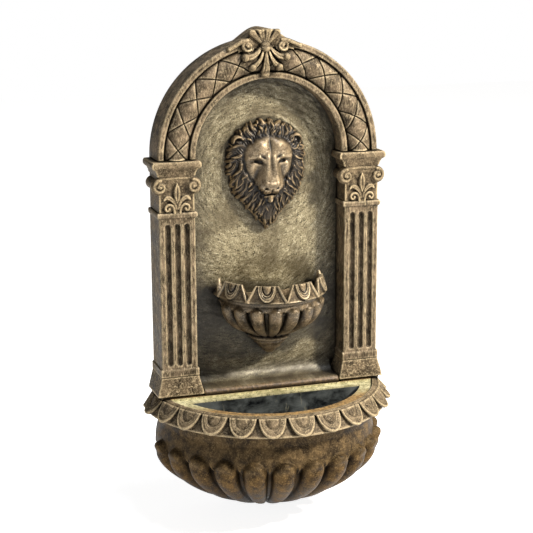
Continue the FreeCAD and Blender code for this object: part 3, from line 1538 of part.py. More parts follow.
def main():
    os.makedirs("parts", exist_ok=True)
    arch = make_arch_frame()
    save(arch, "arch_frame")
    save(make_keystone(arch), "keystone_palmette")
    for side, word in ((-1, "left"), (1, "right")):
        save(make_pilaster(side), word + "_pilaster")
        save(make_capital(side), word + "_capital")
        save(make_plinth(side), word + "_plinth")
    save(make_niche_panel(), "niche_panel")
    save(make_lion_mask(), "lion_mask")
    save(make_upper_bowl(), "upper_bowl")
    save(make_basin_rim(), "basin_rim")
    save(make_basin_bowl(), "basin_bowl")
    save(make_liner(), "basin_liner")
    save(make_back_cover(), "back_cover")
    save(make_cover_screws(), "cover_screws")
    save(make_hanger_plates(), "hanger_plates")
    save(make_hanger_screws(), "hanger_screws")
    mask_bolts, mask_washers = make_mask_bolts()
    bowl_bolts, bowl_washers = make_bowl_bolts()
    save(Part.makeCompound(mask_bolts), "mask_bolts")
    save(Part.makeCompound(bowl_bolts), "bowl_bolts")
    deck_bolts, deck_washers = make_deck_bolts()
    save(Part.makeCompound(deck_bolts), "deck_bolts")
    save(Part.makeCompound(mask_washers + bowl_washers + deck_washers), "washers")
    save(make_grommets(), "liner_grommets")
    save(make_cable_gland(), "cable_gland")
    save(make_riser(), "riser_tube")
    save(make_hose_clamps(), "hose_clamps")
    save(make_outlet_adapter(), "outlet_adapter")
    save(make_elbow(), "elbow_fitting")
    save(make_lock_nut(), "spout_lock_nut")
    save(make_spout(), "spout_nozzle")
    save(sideways(make_pump_body()), "pump_body")
    save(sideways(make_volute()), "pump_volute_cover")
    save(sideways(make_impeller_shaft()), "impeller_shaft")
    save(sideways(make_impeller_bushes()), "impeller_bushes")
    save(sideways(make_impeller()), "impeller_rotor")
    save(sideways(make_grille()), "intake_grille")
    save(sideways(make_sponge()), "filter_sponge")
    save(sideways(make_flow_dial()), "flow_dial")
    save(sideways(make_suction_feet()), "suction_feet")


main()
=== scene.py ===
import bpy
import bmesh
import math
import numpy as np
import mathutils
from mathutils import Matrix, Vector


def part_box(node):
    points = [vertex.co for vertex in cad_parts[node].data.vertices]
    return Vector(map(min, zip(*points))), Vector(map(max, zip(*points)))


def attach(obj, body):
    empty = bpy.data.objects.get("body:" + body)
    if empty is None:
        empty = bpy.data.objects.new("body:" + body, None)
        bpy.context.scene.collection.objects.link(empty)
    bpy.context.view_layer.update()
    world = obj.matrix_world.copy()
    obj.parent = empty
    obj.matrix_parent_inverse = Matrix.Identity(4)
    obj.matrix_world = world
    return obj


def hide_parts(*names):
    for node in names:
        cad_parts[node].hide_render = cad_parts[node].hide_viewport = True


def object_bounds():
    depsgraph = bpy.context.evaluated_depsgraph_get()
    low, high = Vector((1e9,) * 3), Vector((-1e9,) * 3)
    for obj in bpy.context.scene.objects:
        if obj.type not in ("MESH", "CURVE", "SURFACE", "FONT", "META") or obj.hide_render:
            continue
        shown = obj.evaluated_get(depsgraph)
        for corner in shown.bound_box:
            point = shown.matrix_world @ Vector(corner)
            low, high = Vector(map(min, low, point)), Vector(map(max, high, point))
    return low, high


# Sizes that the pieces share, in millimetres, as in the part's source. +Z is up, the front faces -Y and the
# wall is at y = 0. Depths named FRONT or BACK are measured forwards from the wall.
MM = 0.001
NICHE_Y = -23.0
ARCH_OUTER, ARCH_INNER = 184.0, 122.5
BULGE_OUTER, BULGE_INNER = 173.0, 133.5
ARCH_FRONT, BULGE_FRONT, SEAM_FRONT = 60.0, 66.5, 53.0
CASTING_BACK = 2.6
PILASTER_X, SHAFT_W, SHAFT_FRONT = 155.5, 59.0, 64.5
BLOCK_BOTTOM = -82.0
MASK_Z = -30.0
COVE_R, SILL_TOP, SILL_FRONT = 22.0, -380.0, 66.7
DECK_TOP, DECK_T = -387.0, 12.0
BASIN_Y, LIP_R, NECK_R, BODY_R = -21.0, 187.0, 184.0, 191.5
BOWL_X, BOWL_Y, BOWL_TOP = 3.5, -40.0, -199.0

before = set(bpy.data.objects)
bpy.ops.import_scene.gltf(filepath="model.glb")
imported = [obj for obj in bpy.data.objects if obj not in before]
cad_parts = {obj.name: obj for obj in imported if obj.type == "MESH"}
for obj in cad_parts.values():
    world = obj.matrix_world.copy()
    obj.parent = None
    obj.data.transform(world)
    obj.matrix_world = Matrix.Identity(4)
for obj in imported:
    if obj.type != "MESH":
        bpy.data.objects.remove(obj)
cad_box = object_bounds()


# Meshes

def linked(name, data):
    """A new object in the scene."""
    holder = bpy.data.objects.new(name, data)
    bpy.context.scene.collection.objects.link(holder)
    return holder


def piece_from(name, points, faces):
    """A mesh object from points in millimetres."""
    mesh = bpy.data.meshes.new(name)
    mesh.from_pydata([tuple(p) for p in np.asarray(points, float) * MM], [], faces)
    mesh.update()
    return linked(name, mesh)


def lattice(grid, wrap=False):
    """Points and faces of a grid of rows and columns; wrap joins the last column to the first."""
    grid = np.asarray(grid, float)
    rows, cols = grid.shape[:2]
    across = cols if wrap else cols - 1
    faces = []
    for i in range(rows - 1):
        for j in range(across):
            k = (j + 1) % cols
            faces.append((i * cols + j, i * cols + k, (i + 1) * cols + k, (i + 1) * cols + j))
    return grid.reshape(-1, 3), faces


def gather(parts):
    """Several (points, faces) lists as one."""
    points, faces, start = [], [], 0
    for part_points, part_faces in parts:
        points.append(np.asarray(part_points, float))
        faces.extend([tuple(i + start for i in face) for face in part_faces])
        start += len(part_points)
    return np.concatenate(points), faces


def capped(rings):
    """Points and faces of closed rings joined one after another, with a face over each end."""
    points, faces = lattice(rings, wrap=True)
    count = len(rings[0])
    faces.append(tuple(range(count)))
    faces.append(tuple(range(len(points) - count, len(points)))[::-1])
    return points, faces


def round_bar(path, radii, sides, across):
    """A closed round bar along a path, with a radius at each point; across is a direction off the path."""
    path = np.asarray(path, float)
    ahead = np.gradient(path, axis=0)
    ahead /= np.linalg.norm(ahead, axis=1)[:, None] + 1e-9
    side = np.cross(ahead, np.array(across, float))
    side /= np.linalg.norm(side, axis=1)[:, None] + 1e-9
    rise = np.cross(side, ahead)
    turn = np.linspace(0, 2 * np.pi, sides, endpoint=False)
    rings = []
    for p, r, s, t in zip(path, radii, side, rise):
        rings.append(p + r * (np.cos(turn)[:, None] * s + np.sin(turn)[:, None] * t))
    points, faces = lattice(rings, wrap=True)
    last = len(path) - 1
    points = np.concatenate([points, path[:1], path[-1:]])
    low, high = len(points) - 2, len(points) - 1
    for j in range(sides):
        k = (j + 1) % sides
        faces.append((low, k, j))
        faces.append((high, last * sides + j, last * sides + k))
    return points, faces


def slab(x0, x1, y0, y1, z0, z1):
    """A plain block, only ever fused into a casting."""
    points = [(x, y, z) for x in (x0, x1) for y in (y0, y1) for z in (z0, z1)]
    faces = [(0, 1, 3, 2), (4, 6, 7, 5), (0, 4, 5, 1), (2, 3, 7, 6), (0, 2, 6, 4), (1, 5, 7, 3)]
    return points, faces


def settle(piece):
    """The piece with its modifiers applied, as one plain mesh at the origin."""
    bpy.context.view_layer.update()
    graph = bpy.context.evaluated_depsgraph_get()
    mesh = bpy.data.meshes.new_from_object(piece.evaluated_get(graph))
    old = piece.data
    piece.modifiers.clear()
    piece.data = mesh
    bpy.data.meshes.remove(old)
    return piece


def outward(piece):
    """Merges doubles and points every face outwards."""
    work = bmesh.new()
    work.from_mesh(piece.data)
    bmesh.ops.remove_doubles(work, verts=work.verts, dist=1e-6)
    bmesh.ops.recalc_face_normals(work, faces=work.faces)
    work.to_mesh(piece.data)
    work.free()
    return piece


def smooth_shading(piece):
    piece.data.polygons.foreach_set("use_smooth", [True] * len(piece.data.polygons))
    return piece


def cast(piece, voxel, soften, rough, grain, keep=1.0):
    """Fuses the piece's solids into one soft-edged casting with a slightly uneven skin, sizes in mm."""
    fused = piece.modifiers.new("fuse", "REMESH")
    fused.mode = "VOXEL"
    fused.voxel_size = voxel * MM
    soft = piece.modifiers.new("soften", "SMOOTH")
    soft.factor = 0.5
    soft.iterations = soften
    clouds = bpy.data.textures.new(piece.name + "_skin", "CLOUDS")
    clouds.noise_scale = grain * MM
    clouds.noise_depth = 3
    uneven = piece.modifiers.new("skin", "DISPLACE")
    uneven.texture = clouds
    uneven.texture_coords = "LOCAL"
    uneven.mid_level = 0.5
    uneven.strength = rough * MM
    if keep < 1.0:
        fewer = piece.modifiers.new("fewer", "DECIMATE")
        fewer.ratio = keep
    return smooth_shading(settle(piece))


def from_cad(node, name):
    """A merged copy of a CAD node, to be fused with its carving."""
    piece = linked(name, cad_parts[node].data.copy())
    piece.data.materials.clear()
    return outward(piece)


def join(name, pieces):
    """Several loose pieces as one."""
    points, faces = [], []
    for piece in pieces:
        start = len(points)
        points.extend([tuple(v.co) for v in piece.data.vertices])
        faces.extend([tuple(i + start for i in f.vertices) for f in piece.data.polygons])
        bpy.data.objects.remove(piece)
    mesh = bpy.data.meshes.new(name)
    mesh.from_pydata(points, [], faces)
    mesh.update()
    return linked(name, mesh)


def stand_for(piece, material, node):
    """The finished piece takes its material and the place of its CAD node."""
    piece.data.materials.clear()
    piece.data.materials.append(material)
    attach(piece, "fountain")
    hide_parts(node)


# Materials

def linear(colour):
    """A colour written as sRGB hex, in linear light."""
    channels = [int(colour[i:i + 2], 16) / 255 for i in (1, 3, 5)]
    return tuple(c / 12.92 if c <= 0.04045 else ((c + 0.055) / 1.055) ** 2.4 for c in channels) + (1.0,)


def add(tree, kind, settings=None, links=None):
    """Adds a node; settings are attributes or input values, links are inputs fed by other sockets."""
    node = tree.nodes.new(kind)
    for key, value in (settings or {}).items():
        if isinstance(key, int) or key in node.inputs:
            node.inputs[key].default_value = value
        else:
            setattr(node, key, value)
    for key, socket in (links or {}).items():
        tree.links.new(socket, node.inputs[key])
    return node


def fresh(name):
    """An empty material with its output and principled shader."""
    material = bpy.data.materials.new(name)
    material.use_nodes = True
    tree = material.node_tree
    tree.nodes.clear()
    shader = add(tree, "ShaderNodeBsdfPrincipled")
    add(tree, "ShaderNodeOutputMaterial", links={"Surface": shader.outputs[0]})
    return material, tree, shader


def between(tree, value, low, high, to_low=0.0, to_high=1.0):
    """A value spread from one range to another, held at its ends."""
    node = add(tree, "ShaderNodeMapRange", {"From Min": low, "From Max": high, "To Min": to_low,
                                            "To Max": to_high, "clamp": True}, {"Value": value})
    return node.outputs["Result"]


def span(tree, place, low_mm, high_mm, to_low=0.0, to_high=1.0):
    """The same for a place on an axis, with its range in mm."""
    return between(tree, place, low_mm * MM, high_mm * MM, to_low, to_high)


def mixed(tree, share, first, second, blend="MIX"):
    """Two colours mixed by a share; a colour is a socket, sRGB hex or linear."""
    node = add(tree, "ShaderNodeMix", {"data_type": "RGBA", "blend_type": blend})
    for socket, value in ((node.inputs[0], share), (node.inputs[6], first), (node.inputs[7], second)):
        if isinstance(value, str):
            value = linear(value)
        if isinstance(value, (tuple, float)):
            socket.default_value = value
        else:
            tree.links.new(value, socket)
    return node.outputs[2]


def product(tree, first, second, operation="MULTIPLY"):
    """One math node; each of its two sides is a socket or a float."""
    node = add(tree, "ShaderNodeMath", {"operation": operation})
    for socket, value in zip(node.inputs, (first, second)):
        if isinstance(value, float):
            socket.default_value = value
        else:
            tree.links.new(value, socket)
    return node.outputs[0]


def object_place(tree):
    return add(tree, "ShaderNodeTexCoord").outputs["Object"]


def axes_of(tree, vector):
    """The x, y and z of a vector."""
    return add(tree, "ShaderNodeSeparateXYZ", links={0: vector}).outputs


def noise(tree, size_mm, detail=4.0, roughness=0.55, stretch=(1, 1, 1), distortion=0.0):
    """Noise on Object coordinates whose lumps are about size_mm across."""
    scaled = add(tree, "ShaderNodeMapping", {"Scale": stretch}, {"Vector": object_place(tree)})
    node = add(tree, "ShaderNodeTexNoise", {"Scale": 1.0 / (size_mm * MM), "Detail": detail,
                                            "Roughness": roughness, "Distortion": distortion},
               {"Vector": scaled.outputs[0]})
    return node.outputs["Fac"]


def patches(tree, size_mm, low, high, to_low=0.0, to_high=1.0, **kind):
    """Patches cut from noise by a range of its values."""
    return between(tree, noise(tree, size_mm, **kind), low, high, to_low, to_high)


def hollows(tree, reach_mm, low, high, **kind):
    """1 in hollows and where pieces meet, 0 in the open."""
    node = add(tree, "ShaderNodeAmbientOcclusion", {"Distance": reach_mm * MM, "samples": 8, **kind})
    return between(tree, node.outputs["AO"], low, high, 1.0, 0.0)


def edges(tree, reach_mm, low, high):
    """1 on raised edges, 0 on flats and in hollows."""
    return hollows(tree, reach_mm, low, high, inside=True, only_local=True)


def dress(tree, shader, coat, relief, strength, depth_mm, rough, metal=0.0):
    """Gives a shader its colour, its fine relief, its roughness and its share of metal."""
    bump = add(tree, "ShaderNodeBump", {"Strength": strength, "Distance": depth_mm * MM}, {"Height": relief})
    tree.links.new(coat, shader.inputs["Base Color"])
    tree.links.new(bump.outputs[0], shader.inputs["Normal"])
    if isinstance(rough, float):
        shader.inputs["Roughness"].default_value = rough
    else:
        tree.links.new(rough, shader.inputs["Roughness"])
    shader.inputs["Metallic"].default_value = metal


def antique_bronze(name, base, light, gold, dark, mottle_mm=22.0, wash_and_shade=0.95, dry_brush=0.9, metal=0.08,
                   gloss=0.50, pit=0.8, speck=0.5, fleck_mm=2.7, stretch=(1, 1, 1), reach=16.0, glint=0.12):
    """Bronze paint on cast resin: a warm brown coat, near-black washed into the hollows and pits that is also
    painted shade in deep hollows and where pieces meet, and pale gold dry-brushed over the edges and the
    grain. It looks like old metal, rough and only slightly shiny."""
    material, tree, shader = fresh(name)
    cloud = noise(tree, mottle_mm, 5.0, 0.6)
    grain = noise(tree, fleck_mm, 6.0, 0.78, stretch, 0.4)
    coat = mixed(tree, between(tree, cloud, 0.40, 0.62), base, light)
    pits = product(tree, between(tree, grain, 0.495, 0.42), between(tree, cloud, 0.35, 0.6, 1.0, 0.6))
    coat = mixed(tree, product(tree, pits, 0.9 * speck), coat, dark)
    flecks = product(tree, between(tree, grain, 0.525, 0.59), patches(tree, 9.0, 0.36, 0.6, 0.35, 1.0))
    coat = mixed(tree, product(tree, flecks, 0.85 * speck), coat, gold)
    brushed = product(tree, edges(tree, 3.8, 0.68, 0.95), between(tree, grain, 0.36, 0.52, 0.25, 1.0))
    coat = mixed(tree, product(tree, brushed, dry_brush), coat, gold)
    # The near-black in hollows is the paint's dark wash and also painted shade where pieces meet and in deep
    # hollows.
    wet = product(tree, hollows(tree, reach, 0.40, 0.93), wash_and_shade)
    cracks = product(tree, hollows(tree, 4.6, 0.58, 0.96), wash_and_shade)
    coat = mixed(tree, product(tree, wet, cracks, "MAXIMUM"), coat, dark)
    rough = between(tree, cloud, 0.3, 0.7, gloss - 0.08, gloss + 0.14)
    dress(tree, shader, coat, grain, pit, 0.9, rough, metal)
    shader.inputs["Specular IOR Level"].default_value = glint
    return material


def recoat(material, layers):
    """Passes a finished coat through more layers."""
    tree = material.node_tree
    shader = tree.nodes["Principled BSDF"]
    coat = shader.inputs["Base Color"].links[0].from_socket
    tree.links.new(layers(tree, coat), shader.inputs["Base Color"])
    return material


def mask_layers(tree, coat):
    """Dark hair with pale gold along its strands, and a paler burnished face with dark creases."""
    proud = add(tree, "ShaderNodeAttribute", {"attribute_name": "proud"}).outputs["Fac"]
    hair = add(tree, "ShaderNodeAttribute", {"attribute_name": "hair"}).outputs["Fac"]
    coat = mixed(tree, product(tree, hair, 0.95), coat, "#1d150d")
    coat = mixed(tree, between(tree, proud, 0.15, -0.6, 0.0, 0.97), coat, "#040302")
    strand = product(tree, between(tree, proud, 0.4, 1.2), patches(tree, 7.0, 0.38, 0.60, 0.3, 0.85))
    return mixed(tree, strand, coat, "#ad9672")


def golden_lobes_with_painted_shade(tree, coat):
    """Golden brown on the gadroons, greyer above them, and painted shade that darkens them towards the bottom.
    """
    height = axes_of(tree, object_place(tree))[2]
    golden = mixed(tree, 1.0, coat, (1.08, 0.95, 0.70, 1.0), "MULTIPLY")
    coat = mixed(tree, span(tree, height, -468.0, -498.0), coat, golden)
    # Painted shade: near-black growing down the underside, where little light reaches.
    return mixed(tree, span(tree, height, -500.0, -585.0, 0.0, 0.9), coat, "#0d0905")


def swept_noise(tree, centre_mm, size_mm, turn_scale):
    """Streaks that run in rings round a centre in the plane of the wall."""
    moved = add(tree, "ShaderNodeMapping", {"Location": tuple(-c * MM for c in centre_mm)},
                {"Vector": object_place(tree)})
    across, _, height = axes_of(tree, moved.outputs[0])
    flat = add(tree, "ShaderNodeCombineXYZ", links={0: across, 2: height})
    far = add(tree, "ShaderNodeVectorMath", {"operation": "LENGTH"}, {0: flat.outputs[0]})
    turn = product(tree, product(tree, height, across, "ARCTAN2"), turn_scale)
    polar = add(tree, "ShaderNodeCombineXYZ", links={0: far.outputs["Value"], 1: turn})
    node = add(tree, "ShaderNodeTexNoise", {"Scale": 1.0 / (size_mm * MM), "Detail": 6.0, "Roughness": 0.72,
                                            "Distortion": 0.6}, {"Vector": polar.outputs[0]})
    return node.outputs["Fac"]


def trowelled_stucco():
    """Olive bronze over dark brown, dragged in rings round the mask and in sweeps below it, with painted shade
    round the mask and the bowl, a painted shadow of the bowl beside and below it, and a painted highlight
    along the cove; brown on the sill."""
    material, tree, shader = fresh("trowelled_olive_bronze")
    place = object_place(tree)
    height = axes_of(tree, place)[2]
    cloud = noise(tree, 48.0, 4.0, 0.6)
    ring = swept_noise(tree, (0.0, 0.0, MASK_Z), 4.2, 0.035)
    sweep = swept_noise(tree, (-60.0, 0.0, -60.0), 4.6, 0.06)
    lower = span(tree, product(tree, height, product(tree, cloud, 0.14), "ADD"), -45.0, -85.0)
    streak = add(tree, "ShaderNodeMix", {"data_type": "FLOAT"}, {0: lower, 2: ring, 3: sweep}).outputs[0]
    fine = noise(tree, 2.2, 4.0, 0.75)
    tone = product(tree, product(tree, streak, 0.5), product(tree, fine, 0.5), "ADD")
    coat = mixed(tree, between(tree, tone, 0.423, 0.482), "#332b1c", "#968b6c")
    coat = mixed(tree, between(tree, tone, 0.518, 0.595), coat, "#d9d0b2")
    coat = mixed(tree, between(tree, cloud, 0.56, 0.38, 0.0, 0.7), coat, "#52472f")
    # Painted highlight: a pale grey band along the upper part of the cove, where light catches it.
    painted_cove_highlight = product(tree, span(tree, height, SILL_TOP, SILL_TOP + 8.0), span(tree, height, -350.0, -366.0))
    coat = mixed(tree, product(tree, painted_cove_highlight, 0.22), coat, "#b9b8b0")
    brown = mixed(tree, patches(tree, 5.0, 0.42, 0.60, detail=5.0, roughness=0.7), "#3d2f20", "#7d664a")
    brown = mixed(tree, product(tree, edges(tree, 3.0, 0.6, 0.9), 0.9), brown, "#c39a63")
    coat = mixed(tree, span(tree, height, SILL_TOP + 5.5, SILL_TOP + 0.5), coat, brown)
    # Painted shade: near-black laid round the mask and the bowl, where the wall lies in their shade.
    wash_and_shade = "#15120b"
    coat = mixed(tree, product(tree, hollows(tree, 62.0, 0.46, 0.98), 0.95), coat, wash_and_shade)
    # Painted shadow of the bowl: a ragged ellipse of the same near-black to its left and below it.
    halo_x, halo_z, halo_half_w, halo_half_h = -20.0, -279.0, 118.0, 64.0
    spread = add(tree, "ShaderNodeVectorMath", {"operation": "MULTIPLY_ADD"}, {0: place})
    spread.inputs[1].default_value = (1 / (halo_half_w * MM), 0.0, 1 / (halo_half_h * MM))
    spread.inputs[2].default_value = (-halo_x / halo_half_w, 0.0, -halo_z / halo_half_h)
    reach = add(tree, "ShaderNodeVectorMath", {"operation": "LENGTH"}, {0: spread.outputs[0]})
    ragged = product(tree, product(tree, cloud, 0.9), reach.outputs["Value"], "ADD")
    coat = mixed(tree, between(tree, ragged, 1.64, 1.38, 0.0, 0.65), coat, wash_and_shade)
    dress(tree, shader, coat, tone, 0.9, 1.0, between(tree, tone, 0.35, 0.6, 0.5, 0.34), 0.2)
    return material


def glazed_liner():
    """A moulded tub, glossy grey-black inside with pale painted reflection streaks; its flange is bare and
    pale at the back, bronzed in front.
    """
    material, tree, shader = fresh("moulded_tub_with_pale_flange")
    _, depth, height = axes_of(tree, object_place(tree))
    pale = mixed(tree, patches(tree, 9.0, 0.4, 0.62), "#a39c74", "#d8d1a6")
    pale = mixed(tree, patches(tree, 3.0, 0.54, 0.64, detail=3.0, roughness=0.7), pale, "#4d4a33")
    brown = mixed(tree, patches(tree, 4.0, 0.4, 0.6, roughness=0.7), "#5d4a31", "#b08f5c")
    bare = product(tree, span(tree, depth, -140.0, -105.0), span(tree, depth, -70.5, -71.2))
    smoke = patches(tree, 30.0, 0.36, 0.68, detail=5.0, roughness=0.6, stretch=(1, 1, 1.4), distortion=0.3)
    inside = mixed(tree, smoke, "#101315", "#5b6060")
    # Painted reflection: pale upright streaks on the black inside, where light catches its glossy wall.
    painted_reflection_streaks = patches(tree, 30.0, 0.60, 0.70, roughness=0.7, stretch=(2.2, 2.2, 0.5), distortion=0.5)
    inside = mixed(tree, product(tree, painted_reflection_streaks, 0.45), inside, "#a09c84")
    on_flange = span(tree, height, DECK_TOP - 6.5, DECK_TOP - 5.5)
    coat = mixed(tree, on_flange, inside, mixed(tree, bare, brown, pale))
    dress(tree, shader, coat, noise(tree, 14.0, 6.0), 0.5, 0.8, between(tree, on_flange, 0.0, 1.0, 0.22, 0.5))
    return material


def plain(name, colour, rough, metal=0.0, grain_mm=1.2, grain=0.15, second=None, patch_mm=25.0, coat=0.0):
    """A plain moulded, plated or drawn finish with a faint grain and a slight change of tone."""
    material, tree, shader = fresh(name)
    tone = mixed(tree, patches(tree, patch_mm, 0.35, 0.65), colour, second or colour)
    dress(tree, shader, tone, noise(tree, grain_mm), grain, 0.3, rough, metal)
    shader.inputs["Coat Weight"].default_value = coat
    return material


bronze = antique_bronze("antique_bronze_on_cast_resin", "#483e30", "#877660", "#e0cda8", "#0b0805",
                        stretch=(1, 1, 0.45), speck=0.55)
plinth_bronze = antique_bronze("pebbled_bronze_on_plinths", "#453b2d", "#766751", "#dac6a0", "#0b0805",
                               speck=0.8, pit=1.0, fleck_mm=3.1)
shaft_bronze = antique_bronze("brushed_bronze_on_pilasters", "#4b4132", "#877660", "#e0cda8", "#0b0805",
                              wash_and_shade=0.85, stretch=(1, 1, 0.25), speck=0.6)
ornament = antique_bronze("dry_brushed_bronze_ornament", "#4a3f30", "#7f6f58", "#dfcaa2", "#090704",
                          mottle_mm=14.0, wash_and_shade=0.98, pit=0.6)
bowl_bronze = antique_bronze("wet_bronze_bowl", "#42382a", "#7a684e", "#e2cda6", "#080604", mottle_mm=16.0,
                             wash_and_shade=0.98, dry_brush=0.5, metal=0.25, gloss=0.36, pit=0.4, speck=0.4, glint=0.4)
lion_bronze = antique_bronze("burnished_bronze_mask", "#786851", "#a69273", "#f0dfc0", "#060403",
                             mottle_mm=14.0, wash_and_shade=0.85, dry_brush=0.7, metal=0.34, gloss=0.38, pit=0.3,
                             glint=0.5)
basin_bronze = antique_bronze("olive_bronze_basin", "#33291c", "#66543a", "#b49a6e", "#080503",
                              mottle_mm=18.0, wash_and_shade=0.98, dry_brush=0.7, gloss=0.46, pit=0.4, speck=0.4,
                              reach=24.0, glint=0.08)
recoat(lion_bronze, mask_layers)
recoat(basin_bronze, golden_lobes_with_painted_shade)
stucco = trowelled_stucco()
zinc = plain("zinc_plated_steel", "#a9abaa", 0.38, 1.0, 0.8, 0.1, "#8f918f", 9.0)
stainless = plain("stainless_spring_steel", "#c2c3c3", 0.28, 1.0, 0.6, 0.08)
abs_black = plain("black_moulded_abs", "#1a1b1c", 0.42, 0.0, 0.7, 0.2, "#232425")
rubber = plain("black_nitrile_rubber", "#131313", 0.75, 0.0, 0.9, 0.3, "#1d1c1b")
vinyl = plain("black_vinyl_hose", "#16181a", 0.3, 0.0, 2.0, 0.06, "#1f2224", 30.0, 0.3)
foam = plain("open_cell_filter_foam", "#1b1c1d", 0.95, 0.0, 1.4, 1.0, "#2a2b2c", 3.0)
ferrite = plain("sintered_ferrite_magnet", "#2b2c2f", 0.55, 0.3, 0.7, 0.2, "#37383b", 6.0)
ceramic = plain("ground_alumina_pin", "#e6e1d6", 0.2, 0.0, 0.5, 0.05)
sheet_grey = plain("painted_back_sheet", "#3d3730", 0.7, 0.0, 1.5, 0.35, "#4a4239", 40.0)

CAD_FINISHES = (
    (bronze, "arch_frame left_pilaster right_pilaster left_plinth right_plinth"),
    (ornament, "left_capital right_capital keystone_palmette upper_bowl basin_rim"),
    (lion_bronze, "lion_mask"), (basin_bronze, "basin_bowl"), (stucco, "niche_panel"),
    (glazed_liner(), "basin_liner"), (sheet_grey, "back_cover"), (vinyl, "riser_tube"),
    (stainless, "hose_clamps"), (ceramic, "impeller_shaft"), (ferrite, "impeller_rotor"),
    (foam, "filter_sponge"),
    (zinc, "cover_screws hanger_plates hanger_screws mask_bolts bowl_bolts deck_bolts washers"),
    (rubber, "liner_grommets cable_gland impeller_bushes suction_feet"),
    (abs_black, "outlet_adapter elbow_fitting spout_lock_nut spout_nozzle pump_body pump_volute_cover"),
    (abs_black, "intake_grille flow_dial"))
for finish, nodes in CAD_FINISHES:
    for node in nodes.split():
        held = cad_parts[node].data.materials
        held.clear()
        held.append(finish)


# Relief carving

